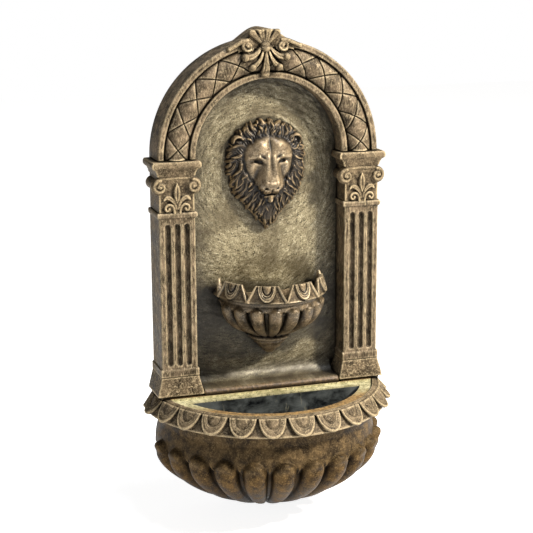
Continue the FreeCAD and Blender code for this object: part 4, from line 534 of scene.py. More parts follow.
class Relief:
    """A carving in front of a flat face: heights over a grid of x and z, millimetres."""

    def __init__(self, x0, x1, z0, z1, pitch=0.7, floor=-1.0):
        self.x, self.z = np.meshgrid(np.arange(x0, x1, pitch), np.arange(z0, z1, pitch))
        self.pitch, self.floor = pitch, floor
        self.h = np.full(self.x.shape, floor)
        self.hair = np.zeros(self.x.shape)

    def window(self, path, reach):
        """The part of the grid within reach of a path."""
        low = (path.min(0) - reach - (self.x[0, 0], self.z[0, 0])) / self.pitch
        high = (path.max(0) + reach - (self.x[0, 0], self.z[0, 0])) / self.pitch + 1
        low = np.maximum(low, 0).astype(int)
        high = np.maximum(high, 0).astype(int)
        return slice(low[1], high[1]), slice(low[0], high[0])

    def stroke(self, path, halves, base, rise, ribs=1, groove=0.0, round_over=0.5):
        """A rounded band along a path, with ribs between grooves that follow it and narrow with it."""
        path = np.asarray(path, float)
        count = len(path)
        halves = np.broadcast_to(halves, count)
        spot = self.window(path, halves.max() + self.pitch)
        x, z = self.x[spot], self.z[spot]
        best = np.full(x.shape, 1e9)
        place = np.zeros(x.shape)
        side = np.ones(x.shape)
        for k in range(count - 1):
            (ax, az), (bx, bz) = path[k], path[k + 1]
            dx, dz = bx - ax, bz - az
            t = np.clip(((x - ax) * dx + (z - az) * dz) / (dx * dx + dz * dz + 1e-9), 0, 1)
            off = np.hypot(x - ax - t * dx, z - az - t * dz)
            nearer = off < best
            best = np.where(nearer, off, best)
            place = np.where(nearer, k + t, place)
            side = np.where(nearer, np.sign((x - ax) * dz - (z - az) * dx), side)
        at = np.arange(count)
        e = np.minimum(best / np.interp(place, at, halves), 1.0)
        body = (1 - e ** 2) ** round_over
        height = np.interp(place, at, np.broadcast_to(base, count))
        height = height + np.interp(place, at, np.broadcast_to(rise, count)) * body
        if groove:
            wave = np.sin if ribs % 2 == 0 else np.cos
            crests = np.abs(wave(ribs * np.pi / 2 * side * e)) ** 0.7
            height -= groove * (1 - crests) * np.minimum(1.0, 2 * body)
        self.h[spot] = np.maximum(self.h[spot], np.where(e < 1, height, self.floor))

    def mound(self, cx, cz, rx, rz, base, rise):
        """A bead or a ball tip."""
        off = ((self.x - cx) / rx) ** 2 + ((self.z - cz) / rz) ** 2
        dome_top = base + rise * np.sqrt(np.clip(1 - off, 0, 1))
        self.h = np.maximum(self.h, np.where(off < 1, dome_top, self.floor))

    def soften(self, times=1):
        """Rounds the carving a little, without spreading it over the bare floor."""
        for _ in range(times):
            ring = np.pad(self.h, 1, mode="edge")
            near = (ring[:-2, 1:-1] + ring[2:, 1:-1] + ring[1:-1, :-2] + ring[1:-1, 2:]) / 4
            self.h = np.where(self.h > self.floor, 0.5 * self.h + 0.5 * near, self.h)

    def proud(self, reach):
        """How far each point stands in front of what lies round it, millimetres."""
        near = np.maximum(self.h, 0.0)
        for _ in range(int((2 * reach / self.pitch) ** 2)):
            ring = np.pad(near, 1, mode="edge")
            near = 0.5 * near + (ring[:-2, 1:-1] + ring[2:, 1:-1] + ring[1:-1, :-2] + ring[1:-1, 2:]) / 8
        return np.maximum(self.h, 0.0) - near

    def solid(self, name, front, back):
        """The carving as a closed piece, its foot sunk to the depth back; its marks are for its finish."""
        high = self.h > self.floor + 1e-6
        kept = high[:-1, :-1] | high[1:, :-1] | high[:-1, 1:] | high[1:, 1:]
        for _ in range(6):
            a, b, c, d = kept[:-1, :-1], kept[:-1, 1:], kept[1:, :-1], kept[1:, 1:]
            touch = (a & d & ~b & ~c) | (b & c & ~a & ~d)
            for part in (kept[:-1, :-1], kept[:-1, 1:], kept[1:, :-1], kept[1:, 1:]):
                part |= touch
        rows, cols = np.nonzero(kept)
        wide = self.h.shape[1]
        corner = rows * wide + cols
        quads = np.stack([corner, corner + 1, corner + wide + 1, corner + wide], 1)
        used, quads = np.unique(quads, return_inverse=True)
        points = np.stack([self.x, front - self.h, self.z], 2).reshape(-1, 3)[used]
        piece = piece_from(name, points, quads.reshape(-1, 4).tolist())
        for mark, grid in (("proud", self.proud(1.9)), ("hair", self.hair)):
            layer = piece.data.attributes.new(mark, "FLOAT", "POINT")
            layer.data.foreach_set("value", grid.ravel()[used].astype(np.float32))
        work = bmesh.new()
        work.from_mesh(piece.data)
        rim = bmesh.ops.extrude_edge_only(work, edges=[e for e in work.edges if e.is_boundary])
        for part in rim["geom"]:
            if isinstance(part, bmesh.types.BMVert):
                part.co.y = back * MM
        bmesh.ops.holes_fill(work, edges=[e for e in work.edges if e.is_boundary], sides=0)
        work.to_mesh(piece.data)
        work.free()
        return outward(piece)


# Lion mask

# Height and half width of the mane's edge, and of the bare face inside it
MANE_EDGE = np.array([(-129.0, 0.5), (-117.0, 14.0), (-100.0, 29.0), (-87.0, 41.0), (-73.0, 51.0),
                      (-55.0, 61.0), (-35.0, 66.5), (-10.0, 67.5), (15.0, 63.5), (31.0, 54.0), (44.0, 40.0),
                      (53.0, 21.0), (56.5, 0.5)])
FACE_EDGE = np.array([(-80.0, 1.0), (-74.0, 7.0), (-64.0, 11.0), (-57.0, 17.0), (-50.0, 24.0), (-36.0, 34.5),
                      (-14.0, 43.0), (2.0, 43.5), (15.0, 37.0), (25.0, 23.0), (31.0, 1.0)])
# Height, depth and half width of the skull, then depth and half width of the muzzle
FACE_LINE = np.array([(40, 20, 36, 14, 12), (28, 26, 42, 25, 18), (15, 31, 47, 32, 22), (4, 33, 49, 37, 26),
                      (-8, 32, 49, 39.5, 27), (-20, 30, 47, 41.5, 27), (-32, 28, 43, 43.5, 29),
                      (-42, 26, 38, 45, 31), (-50, 24, 34, 45, 31), (-57, 22, 30, 43, 29),
                      (-63, 20, 27, 37, 24), (-72, 19, 24, 28, 18), (-84, 16, 19, 20, 13),
                      (-96, 12, 15, 12, 9)], float)[::-1]
MUZZLE_ROOT, MELT = 16.0, 1.8
# Middle (x, z), half sizes (x, z), height and sharpness of the swellings on both halves of the face
FACE_DOMES = ((15.0, 15.0, 15.0, 15.0, 7.0), (22.0, 3.0, 15.0, 6.0, 3.0),  # brow
              (0.0, 18.0, 5.5, 20.0, -3.0),  # furrow between the brows
              (23.0, -10.0, 11.0, 6.5, -2.3), (15.0, -11.0, 3.0, 4.0, -1.6),  # eye socket and its corner
              (24.0, -11.5, 5.4, 3.4, 1.8), (23.0, -10.8, 2.8, 2.2, -2.0),  # eyeball and pupil
              (31.0, -21.0, 9.0, 12.0, 4.0), (22.0, -32.0, 6.0, 12.0, -1.4),  # cheekbone, hollow under it
              (0.0, -20.0, 4.4, 26.0, -1.5),  # crease down the nose
              (17.0, -52.0, 9.0, 10.0, 3.5), (7.0, -58.0, 6.5, 4.5, 2.4),  # whisker pad and upper lip
              (9.4, -53.4, 2.8, 1.5, -3.6),  # nostril
              (0.0, -69.5, 4.6, 3.2, 6.5, 1.2), (0.0, -75.5, 6.5, 4.6, 13.0, 1.2))  # lower lip and chin
# Start, end, width and height of the ridges and grooves
FACE_RIDGES = (((12.0, -8.5), (20.0, -3.2), 3.4, 3.2), ((20.0, -3.2), (35.0, -4.6), 4.4, 3.6),  # upper lid
               ((17.0, -15.4), (30.0, -14.5), 2.6, 1.0),  # lower lid
               ((19.5, -11.8), (24.8, -10.6), 1.8, -2.0),  # slit of the eye
               ((5.5, -4.0), (10.5, -43.0), 4.0, 2.3),  # side of the nose
               ((0.0, -55.0), (0.0, -61.0), 1.3, -2.2))  # groove of the lip
# The rows of locks from the mane's edge inwards: share of its width, count, length, half width and lift
LOCK_ROWS = ((0.60, 38, 25.0, 4.8, 7.0), (0.38, 34, 28.0, 4.6, 8.6), (0.15, 31, 28.0, 4.2, 9.4),
             (-0.10, 29, 22.0, 3.5, 8.0))
# Towards +X from the middle of the niche
MASK_SHIFT = 2.4


def edge_radius(outline, angle):
    """Distance from the mask's middle to a mirrored outline of (height, half width), at any angle."""
    heights, halves = outline[:, 0] - MASK_Z, outline[:, 1]
    folded = np.arctan2(np.sin(angle), np.abs(np.cos(angle)))
    return np.interp(folded, np.arctan2(heights, halves), np.hypot(heights, halves))


def dome(x, z, cx, cz, rx, rz, height, sharp=1.6):
    """A smooth swelling over an ellipse."""
    return height * np.exp(-sharp * (((x - cx) / rx) ** 2 + ((z - cz) / rz) ** 2))


def ridge(x, z, start, end, width, height):
    """A rounded ridge from start to end."""
    sx, sz = start
    dx, dz = end[0] - sx, end[1] - sz
    along = np.clip(((x - sx) * dx + (z - sz) * dz) / (dx * dx + dz * dz), 0, 1)
    return height * np.exp(-1.2 * (np.hypot(x - sx - along * dx, z - sz - along * dz) / width) ** 2)


def face_line(z, column):
    """A column of FACE_LINE at heights z, eased between its rows."""
    shifts = (-4.5, -2.2, 0.0, 2.2, 4.5)
    return sum(np.interp(z + s, FACE_LINE[:, 0], FACE_LINE[:, column]) for s in shifts) / len(shifts)


def face_height(x, z):
    """Depth of the bare face in front of the niche, by its masses."""
    side = np.abs(x)
    skull = face_line(z, 1) * np.clip(1 - (side / face_line(z, 2)) ** 3.2, 0.05, 1) ** 0.5
    across = np.clip(1 - (side / face_line(z, 4)) ** 2.0, 0, 1) ** 1.1
    muzzle = MUZZLE_ROOT + (face_line(z, 3) - MUZZLE_ROOT) * across
    h = MELT * np.log(np.exp(skull / MELT) + np.exp(muzzle / MELT)) - 1.0
    h += sum(dome(side, z, *swelling) for swelling in FACE_DOMES)
    h += sum(ridge(side, z, *line) for line in FACE_RIDGES)
    pad = np.interp(z, (-56.0, -53.5, -49.0, -45.0), (4.5, 8.0, 12.5, 13.5))
    pad = np.clip((pad - side) / 3.2, 0, 1) * np.clip((-41.5 - z) / 5.0, 0, 1)
    pad = pad * np.clip((z + 56.6) / 2.0, 0, 1)
    mouth = np.exp(-((z + 63.2 + 0.03 * side ** 2) / 1.7) ** 4) * np.clip((9.5 - side) / 3.0, 0, 1)
    return h + 2.0 * pad - 6.0 * mouth


def hair_bed(x, z):
    """Depth of the ground that the hair lies on, falling away to the niche."""
    angle = np.arctan2(z - MASK_Z, x)
    share = np.hypot(x, z - MASK_Z) / edge_radius(MANE_EDGE, angle)
    return 26.0 * np.clip(1.0 - share ** 2.8, 0, 1) ** 0.55


def head_ground(x, z):
    """Depth of the face inside its edge and of the hair's ground outside it."""
    angle = np.arctan2(z - MASK_Z, x)
    bare = np.clip((1.0 - np.hypot(x, z - MASK_Z) / edge_radius(FACE_EDGE, angle)) * 6.0 + 0.35, 0, 1)
    bare = bare * bare * (3 - 2 * bare)
    return hair_bed(x, z) * (1 - bare) + face_height(x, z) * bare


def flow(x, z):
    """The way the hair falls: out above the brow, out and down beside the cheeks, in to the beard's point."""
    out = Vector((x, z - MASK_Z - 10.0)).normalized()
    fall = Vector((0.34 * math.copysign(1, x), -0.92)).normalized()
    home = Vector((-x * 0.9, -138.0 - z)).normalized()
    if z > -42.0:
        way = out.lerp(fall, min(1.0, max(0.0, (26.0 - z) / 46.0)))
    else:
        way = fall.lerp(home, min(1.0, (-42.0 - z) / 40.0))
    return math.atan2(way.y, way.x)


def lock(relief, x, z, length, half, lift, wave, chance, ribs=3):
    """One lock that sweeps in an S from its root to a raised point, lying over the next row's roots."""
    steps = 16
    s = np.linspace(0, 1, steps)
    curl = math.copysign(1, x) if z < 16.0 and chance.uniform() < 0.85 else chance.choice((-1, 1))
    turn = flow(x, z) + chance.uniform(-0.16, 0.16) + curl * wave * np.sin(np.pi * (1.7 * s - 0.70))
    pace = length / (steps - 1)
    px = x + np.concatenate([[0], np.cumsum(np.cos(turn[:-1]) * pace)])
    pz = z + np.concatenate([[0], np.cumsum(np.sin(turn[:-1]) * pace)])
    halves = np.maximum(half * np.minimum(1.0, 0.55 + 1.6 * s) * (1 - s ** 2.8) ** 0.75, 0.4)
    share = np.hypot(px, pz - MASK_Z) / edge_radius(MANE_EDGE, np.arctan2(pz - MASK_Z, px))
    base = np.maximum(head_ground(px, pz), 1.5) - 1.5
    rise = lift * (0.25 + 0.75 * s ** 0.8) * np.clip((1.10 - share) / 0.14, 0.15, 1)
    relief.stroke(np.stack([px, pz], 1), halves, base, rise, ribs, 2.5, 0.5)


def ear(relief, way, chance):
    """A small round ear, its lower half lost in the hair."""
    cx, cz = way * 49.0, 20.5
    hollow = ((relief.x - cx) / 7.4) ** 2 + ((relief.z - cz) / 7.4) ** 2 < 1
    relief.h = np.where(hollow, np.minimum(relief.h, 14.0), relief.h)
    turn = np.linspace(-0.1, np.pi * 0.86, 18)
    rim = np.stack([cx + way * 8.2 * np.cos(turn), cz + 8.2 * np.sin(turn)], 1)
    relief.stroke(rim, 2.6 - 1.0 * np.linspace(-1, 1, 18) ** 2, 14.0, 5.6)
    for reach in (0.0, 3.5, 7.0):
        lock(relief, cx - way * (7.0 - reach), cz - 1.0 - 0.8 * reach, 14.0, 2.8, 5.0, 0.4, chance, 2)


def make_lion():
    """The face, the combed ground and the locks, with marks for dark hair, pupils, mouth and nose pad."""
    chance = np.random.default_rng(7)
    relief = Relief(-74, 74, -130, 62, 0.66)
    angle = np.arctan2(relief.z - MASK_Z, relief.x)
    inside = np.hypot(relief.x, relief.z - MASK_Z) / edge_radius(MANE_EDGE, angle) < 0.93
    relief.h = np.where(inside, np.maximum(head_ground(relief.x, relief.z), 1.0), relief.h)
    reach = np.hypot(relief.x, relief.z - MASK_Z)
    combed = inside & (reach > edge_radius(FACE_EDGE, angle))
    relief.h += np.where(combed, 0.9 * np.sin(96 * angle + 2.0 * np.sin(0.22 * reach)), 0.0)
    for share, count, length, half, lift in LOCK_ROWS:
        for k in range(count):
            turn = 2 * np.pi * (k + chance.uniform(-0.3, 0.3)) / count + share
            inner, outer = edge_radius(FACE_EDGE, turn), edge_radius(MANE_EDGE, turn)
            start = inner + (outer - inner) * (share + chance.uniform(-0.07, 0.07))
            x, z = start * np.cos(turn), MASK_Z + start * np.sin(turn)
            size = chance.uniform(0.8, 1.25) * (0.66 if z > 16.0 else 1.0)
            if z < -80.0 and abs(x) < 8.0 and share < 0.3:
                continue
            lock(relief, x, z, length * size, half * chance.uniform(0.85, 1.2),
                 lift * chance.uniform(0.85, 1.1), chance.uniform(0.3, 0.75), chance, chance.choice((3, 4)))
        if share > 0.3:
            for way in (-1, 1):
                ear(relief, way, chance)
    for k in range(13):
        x = -19.2 + 3.2 * k
        z = -81.0 + 0.3 * abs(x) + chance.uniform(-4, 2)
        lock(relief, x, z, 38.0 - 0.9 * abs(x), 3.4, 10.5 - 0.12 * abs(x), 0.3, chance, 2)
    for k in range(7):
        for way in (-1, 1):
            lock(relief, way * (5.0 + 2.9 * k), -56.4 + 2.0 * k, 20.0, 2.8, 6.0, 0.25, chance, 2)
    bare = head_ground(relief.x, relief.z)
    skin = np.clip((1.0 - np.hypot(relief.x, relief.z - MASK_Z) / edge_radius(FACE_EDGE, angle)) * 8.0, 0, 1)
    lip = dome(relief.x, relief.z, 0.0, -73.0, 6.0, 5.0, 1.6)
    covered = np.clip(np.maximum((relief.h - bare - 0.4) / 0.8, 1.0 - skin), 0, 1) * np.clip(1.4 - lip, 0, 1)
    pupil = dome(np.abs(relief.x), relief.z, 22.6, -10.8, 2.8, 2.3, 1.8)
    pupil = np.maximum(pupil, dome(relief.x, relief.z, 0.0, -61.0, 13.0, 4.2, 1.7))
    pad = dome(relief.x, relief.z, 0.0, -50.0, 14.0, 5.5, 0.75, 1.2)
    relief.hair = np.clip(np.maximum(covered, np.maximum(pupil, pad)), 0, 1)
    relief.soften(1)
    mask = relief.solid("mask_of_lion", NICHE_Y, NICHE_Y + 1.5)
    for vertex in mask.data.vertices:
        vertex.co.x += MASK_SHIFT * MM
    return smooth_shading(mask)


stand_for(make_lion(), lion_bronze, "lion_mask")


# Basin shell

NECK_TOP, NECK_FOOT, LOBE_TOP, BELLY_TOP, BASIN_FOOT = -418.0, -463.0, -464.0, -486.0, -602.0
LOBE_STEP, LOBE_RISE, LOBE_SHOULDER, VALLEY = 15.0, 21.0, 4.2, 0.57


def lobe(position):
    """Rounded gadroon across its width: 1 at its middle, 0 in the valley beside it."""
    return np.clip(1.0 - (1.16 * np.abs(position)) ** 2.4, 0, 1) ** 0.6


def body_levels():
    """Heights and radii of the shell without its lobes: a waisted neck over a round belly."""
    levels = [(NECK_TOP, NECK_R - 1.0)]
    for share in (0.25, 0.5, 0.75, 1.0):
        waist = 4.5 * math.sin(math.pi * min(share * 1.15, 1.0))
        levels.append((NECK_TOP + (NECK_FOOT - NECK_TOP) * share, NECK_R - 1.0 - waist + 1.0 * share))
    for k in range(1, 40):
        share = k / 40
        levels.append((BELLY_TOP + (BASIN_FOOT - BELLY_TOP) * share,
                       (BODY_R - 6.4) * (1 - share ** 1.67) ** (1 / 1.19)))
    return np.array(levels)


def gadrooned_skin(rows=100, columns=401):
    """The shell's front skin, with tall lobes that start round under the neck and run in under the belly."""
    heights, radii = body_levels().T
    z_line = heights[0] + (heights[-1] - heights[0]) * np.linspace(0, 1, rows)
    r_line = np.interp(-z_line, -heights, radii)
    angles = np.radians(np.linspace(-90, 90, columns))
    position = ((np.degrees(angles) + 90.0) % LOBE_STEP) / LOBE_STEP * 2 - 1
    skin = []
    for z, r in zip(z_line, r_line):
        start = LOBE_TOP - 20.0 * np.abs(position) ** 2.0
        inward = np.clip((start - z) / 5.0, 0, 1)
        inward = np.sqrt(1 - (1 - inward) ** 2)
        fade = np.clip((z - BASIN_FOOT + 1.0) / (LOBE_TOP - BASIN_FOOT + 1.0) * 3.0, 0.35, 1)
        sunk = np.clip((start + 5.0 - z) / 13.0, 0, 1)
        relief = lobe(position) - VALLEY
        swell = LOBE_RISE * fade * relief * np.where(relief > 0, inward, sunk * sunk * (3 - 2 * sunk))
        shoulder = LOBE_SHOULDER * lobe(position) * np.exp(-((start - 8.5 - z) / 7.0) ** 2) * (z < start)
        reach = np.maximum(r + (swell + shoulder), 2.0)
        row = np.stack([reach * np.sin(angles), BASIN_Y - reach * np.cos(angles), np.full_like(reach, z)], 1)
        left, right = row[:1].copy(), row[-1:].copy()
        left[0, 1] = right[0, 1] = -0.4
        skin.append(np.concatenate([left, row, right]))
    return np.array(skin)


def make_basin_shell(wall=5.5, back_steps=40):
    """The skin closed by a flat back and a foot, and given a wall of even thickness."""
    skin = gadrooned_skin()
    rows, cols = skin.shape[:2]
    across = np.linspace(0, 1, back_steps)[1:-1, None]
    rings = [np.concatenate([row, row[-1] * (1 - across) + row[0] * across]) for row in skin]
    points, faces = lattice(rings, wrap=True)
    total = cols + back_steps - 2
    faces.append(tuple(range((rows - 1) * total, rows * total)))
    piece = outward(piece_from("gadrooned_basin", points, faces))
    thick = piece.modifiers.new("wall", "SOLIDIFY")
    thick.thickness = wall * MM
    thick.offset = -1.0
    thick.use_even_offset = False
    return smooth_shading(settle(piece))


stand_for(make_basin_shell(), basin_bronze, "basin_bowl")


# Arch with its quilted bulge

def arch_section():
    """The band's outline in radius and depth: outer wall, flat edge, bulge between two seams, inner edge."""
    rim = [(ARCH_OUTER, depth) for depth in (CASTING_BACK, 15.0, 30.0, 45.0, 56.5)]
    rim += [(ARCH_OUTER - 0.5, 58.8), (ARCH_OUTER - 1.8, ARCH_FRONT)]
    rim += [(r, ARCH_FRONT) for r in np.linspace(181.0, 175.6, 5)]
    rim += [(174.4, 59.4), (173.6, 56.0), (173.2, 54.0)]
    bulge = []
    for s in np.linspace(0.02, 0.98, 56):
        r = BULGE_OUTER + (BULGE_INNER - BULGE_OUTER) * s
        bulge.append((r, SEAM_FRONT + (BULGE_FRONT - SEAM_FRONT) * math.sin(math.pi * s) ** 0.6))
    edge = [(133.2, SEAM_FRONT), (132.9, 56.0), (132.0, 59.4)]
    edge += [(r, ARCH_FRONT) for r in np.linspace(131.0, 125.0, 5)]
    edge += [(123.8, 59.6), (122.8, 58.4), (ARCH_INNER, 56.5)]
    reveal = [(ARCH_INNER, depth) for depth in np.linspace(52.0, 23.2, 8)]
    return rim, bulge, edge + reveal + [(129.0, 23.2), (131.0, CASTING_BACK)]


def make_arch(diamond_deg=16.0, first_deg=14.0):
    rim, bulge, rest = arch_section()
    radius, depth = np.array(rim + bulge + rest).T
    on_bulge = np.zeros(len(radius), bool)
    on_bulge[len(rim):len(rim) + len(bulge)] = True
    across = np.zeros(len(radius))
    across[on_bulge] = np.linspace(0.02, 0.98, len(bulge))
    rings = []
    for degrees in np.linspace(0.0, 180.0, 720):
        angle = math.radians(degrees)
        from_foot = min(degrees, 180.0 - degrees)
        groove = np.zeros(len(radius))
        pillow = np.ones(len(radius))
        for lean in (diamond_deg, -diamond_deg):
            phase = (from_foot - first_deg - lean * across) / diamond_deg
            gap = np.radians(np.abs(phase - np.round(phase)) * diamond_deg) * radius * 0.82
            groove = np.maximum(groove, np.exp(-(gap / 0.8) ** 2))
            pillow = pillow * np.clip(gap / 8.0, 0, 1) ** 0.5
        front = depth + np.where(on_bulge, 2.8 * pillow - 2.2 * groove - 2.0, 0.0)
        rings.append(np.stack([radius * math.cos(angle), -front, radius * math.sin(angle)], 1))
    return smooth_shading(outward(piece_from("quilted_arch", *capped(rings))))


stand_for(make_arch(), bronze, "arch_frame")


# Pilasters and plinths

def frustum(x, half0, half1, front0, front1, z0, z1):
    """A block on the wall, with its own half width and front at its foot and at its top."""
    points = [(x + side, -front, z) for half, face, z in ((half0, front0, z0), (half1, front1, z1))
              for side, front in ((-half, face), (half, face), (half, CASTING_BACK), (-half, CASTING_BACK))]
    faces = [(0, 1, 2, 3), (7, 6, 5, 4), (0, 4, 5, 1), (1, 5, 6, 2), (2, 6, 7, 3), (3, 7, 4, 0)]
    return points, faces


def moulding(x, levels, lap):
    """Blocks stacked up, each sunk a little into the last; levels are (height, half width, front)."""
    return [frustum(x, half0, half1, front0, front1, z0 - lap, z1)
            for (z0, half0, front0), (z1, half1, front1) in zip(levels[:-1], levels[1:])]


def deepened(shaft):
    """The flutes sunk to more than half round, with the wall behind them moved back by as much."""
    for vertex in shaft.data.vertices:
        x, y, z = (c / MM for c in vertex.co)
        depth = SHAFT_FRONT + y
        if 0.05 < depth < 5.0 and abs(abs(x) - PILASTER_X) < 20.0 and -340.0 < z < -95.0:
            vertex.co.y += 0.25 * depth * MM
        elif 7.0 < depth < 8.0:
            vertex.co.y += 4.0 * MM
    return shaft


SIDES = (("left", -1), ("right", 1))
# Height, and how far the bead stands out
NECK_BEAD = ((-91.4, 0.4), (-89.6, 2.8), (-84.6, 3.3), (-82.2, 1.8))

for side, way in SIDES:
    shaft = deepened(from_cad(side + "_pilaster", "fluted_shaft_" + side))
    levels = [(z, SHAFT_W / 2 + out, SHAFT_FRONT + out) for z, out in NECK_BEAD]
    beads = [outward(piece_from("bead", *block)) for block in moulding(way * PILASTER_X, levels, 0.2)]
    shaft = cast(join(shaft.name, [shaft] + beads), voxel=1.1, soften=1, rough=0.6, grain=5.0)
    stand_for(shaft, shaft_bronze, side + "_pilaster")
    plinth = from_cad(side + "_plinth", "flared_plinth_" + side)
    plinth = cast(plinth, voxel=1.2, soften=2, rough=0.9, grain=3.0)
    stand_for(plinth, plinth_bronze, side + "_plinth")


# Carved leaves and scrolls

def bent(points, x=0.0, z=0.0, way=1, steps=24):
    """A smooth line near a few given points, which are placed from (x, z) and mirrored where way is -1."""
    points = np.asarray(points, float) * (way, 1) + (x, z)
    at = np.linspace(0, len(points) - 1, steps)
    line = np.stack([np.interp(at, np.arange(len(points)), points[:, k]) for k in (0, 1)], 1)
    for _ in range(6):
        line[1:-1] = (line[:-2] + 2 * line[1:-1] + line[2:]) / 4
    return line


def scroll(relief, cx, cz, reach, turns, way, band, base, rise, lead=()):
    """A band that winds in from the top of its circle to a domed eye, after an optional lead-in."""
    s = np.linspace(0, 1, 60)
    angle = math.pi / 2 + way * 2 * np.pi * turns * s
    radius = reach - (reach - band * 0.9) * s
    path = np.stack([cx + radius * np.cos(angle), cz + radius * np.sin(angle)], 1)
    path = np.concatenate([np.array(lead, float).reshape(-1, 2), path])
    share = np.linspace(0, 1, len(path))
    relief.stroke(path, band * (1 - 0.35 * share), base + 1.2 * share, rise, 1, 0.0, 0.4)
    relief.mound(cx, cz, band * 1.05, band * 1.05, base + 1.0, rise + 1.2)


VOLUTE_Z = -40.5


def capital_carving(x):
    """Scrolls at the corners and, between them, a leaf over two bent leaves and two snail curls."""
    relief = Relief(x - 44, x + 44, -84, -22, 0.6)
    for way in (-1, 1):
        cx = x + way * 27.0
        relief.mound(cx, VOLUTE_Z, 13.0, 13.0, 0.0, 1.8)
        scroll(relief, cx, VOLUTE_Z, 10.2, 1.25, -way, 3.6, 1.0, 3.8)
        relief.stroke([(x, -27.6), (cx, -28.6)], 2.2, 0.2, 1.4)
        leaf = bent([(1.5, -76.0), (4.0, -66.0), (11.0, -58.5), (17.5, -57.0), (21.0, -61.5)], x, 0.0, way)
        s = np.linspace(0, 1, len(leaf))
        relief.stroke(leaf, 1.6 + 2.9 * np.sin(np.pi * np.clip(s * 1.1 - 0.1, 0, 1)), 0.8, 3.6, 2, 1.5)
        relief.mound(x + way * 13.4, -75.2, 7.4, 7.4, 0.6, 1.4)
        snail = bent([(4.5, -82.0), (5.5, -74.0), (10.0, -68.4), (17.0, -69.0), (20.0, -74.5), (17.0, -79.5),
                      (12.8, -77.0)], x, 0.0, way, steps=40)
        relief.stroke(snail, np.linspace(2.7, 2.0, len(snail)), 1.0, 3.4, 1, 0.0, 0.45)
        relief.mound(x + way * 13.2, -75.4, 2.7, 2.7, 1.2, 3.8)
    blade = bent([(0.0, -66.0), (0.0, -51.0), (0.0, -36.5)], x)
    s = np.linspace(0, 1, len(blade))
    wide = 6.2 * np.sin(np.pi * np.clip(s, 0.03, 0.97)) ** 0.62
    relief.stroke(blade, wide * 1.12, 0.8, 4.4, 2, 2.2, 0.4)
    relief.stroke(bent([(0.0, -82.0), (0.0, -62.0)], x), 2.2, 0.4, 2.0)
    relief.soften(1)
    return relief


# Height, and how far in from the node's box the top slab's sides and front stand
TOP_SLAB = ((-13.4, 4.0, 5.4), (-11.0, 1.2, 2.8), (-8.5, 0.3, 2.0), (-4.5, 0.5, 2.2), (-1.3, 2.4, 4.0))


def make_capital(side, way):
    x = way * PILASTER_X
    low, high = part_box(side + "_capital")
    half = (high.x - low.x) / 2 / MM
    front = -low.y / MM
    face = SHAFT_FRONT - 1.0
    top = [(z, half - inset, front - back) for z, inset, back in TOP_SLAB]
    cove = ((-24.2, 30.5, 0.6), (-20.0, 31.4, 1.2), (-16.5, 33.0, 2.2), (-13.0, half - 5.5, 4.2))
    parts = moulding(x, top, 0.3) + moulding(x, [(z, wide, face + out) for z, wide, out in cove], 0.2)
    parts.append(frustum(x, 28.6, 28.6, face, face, BLOCK_BOTTOM - 0.4, -23.0))
    for turn in (-1, 1):
        cx = x + turn * 26.0
        line = [(cx, -face - 0.8, VOLUTE_Z), (cx, -36.0, VOLUTE_Z), (cx, -6.0, VOLUTE_Z)]
        parts.append(round_bar(line, [11.4, 9.8, 10.6], 24, (0, 0, 1)))
    carving = capital_carving(x).solid("carving", -face, -face + 6.0)
    block = outward(piece_from("block", *gather(parts)))
    capital = join("scrolled_capital_" + side, [block, carving])
    return cast(capital, voxel=0.64, soften=1, rough=0.3, grain=4.0)


for side, way in SIDES:
    stand_for(make_capital(side, way), ornament, side + "_capital")


# Palmette on the crown

def bulge_height(x, z):
    """How far the quilted bulge stands in front of the arch's flat edges."""
    across = (BULGE_OUTER - np.hypot(x, z)) / (BULGE_OUTER - BULGE_INNER)
    return (BULGE_FRONT - ARCH_FRONT) * np.sin(np.pi * np.clip(across, 0, 1)) ** 0.5


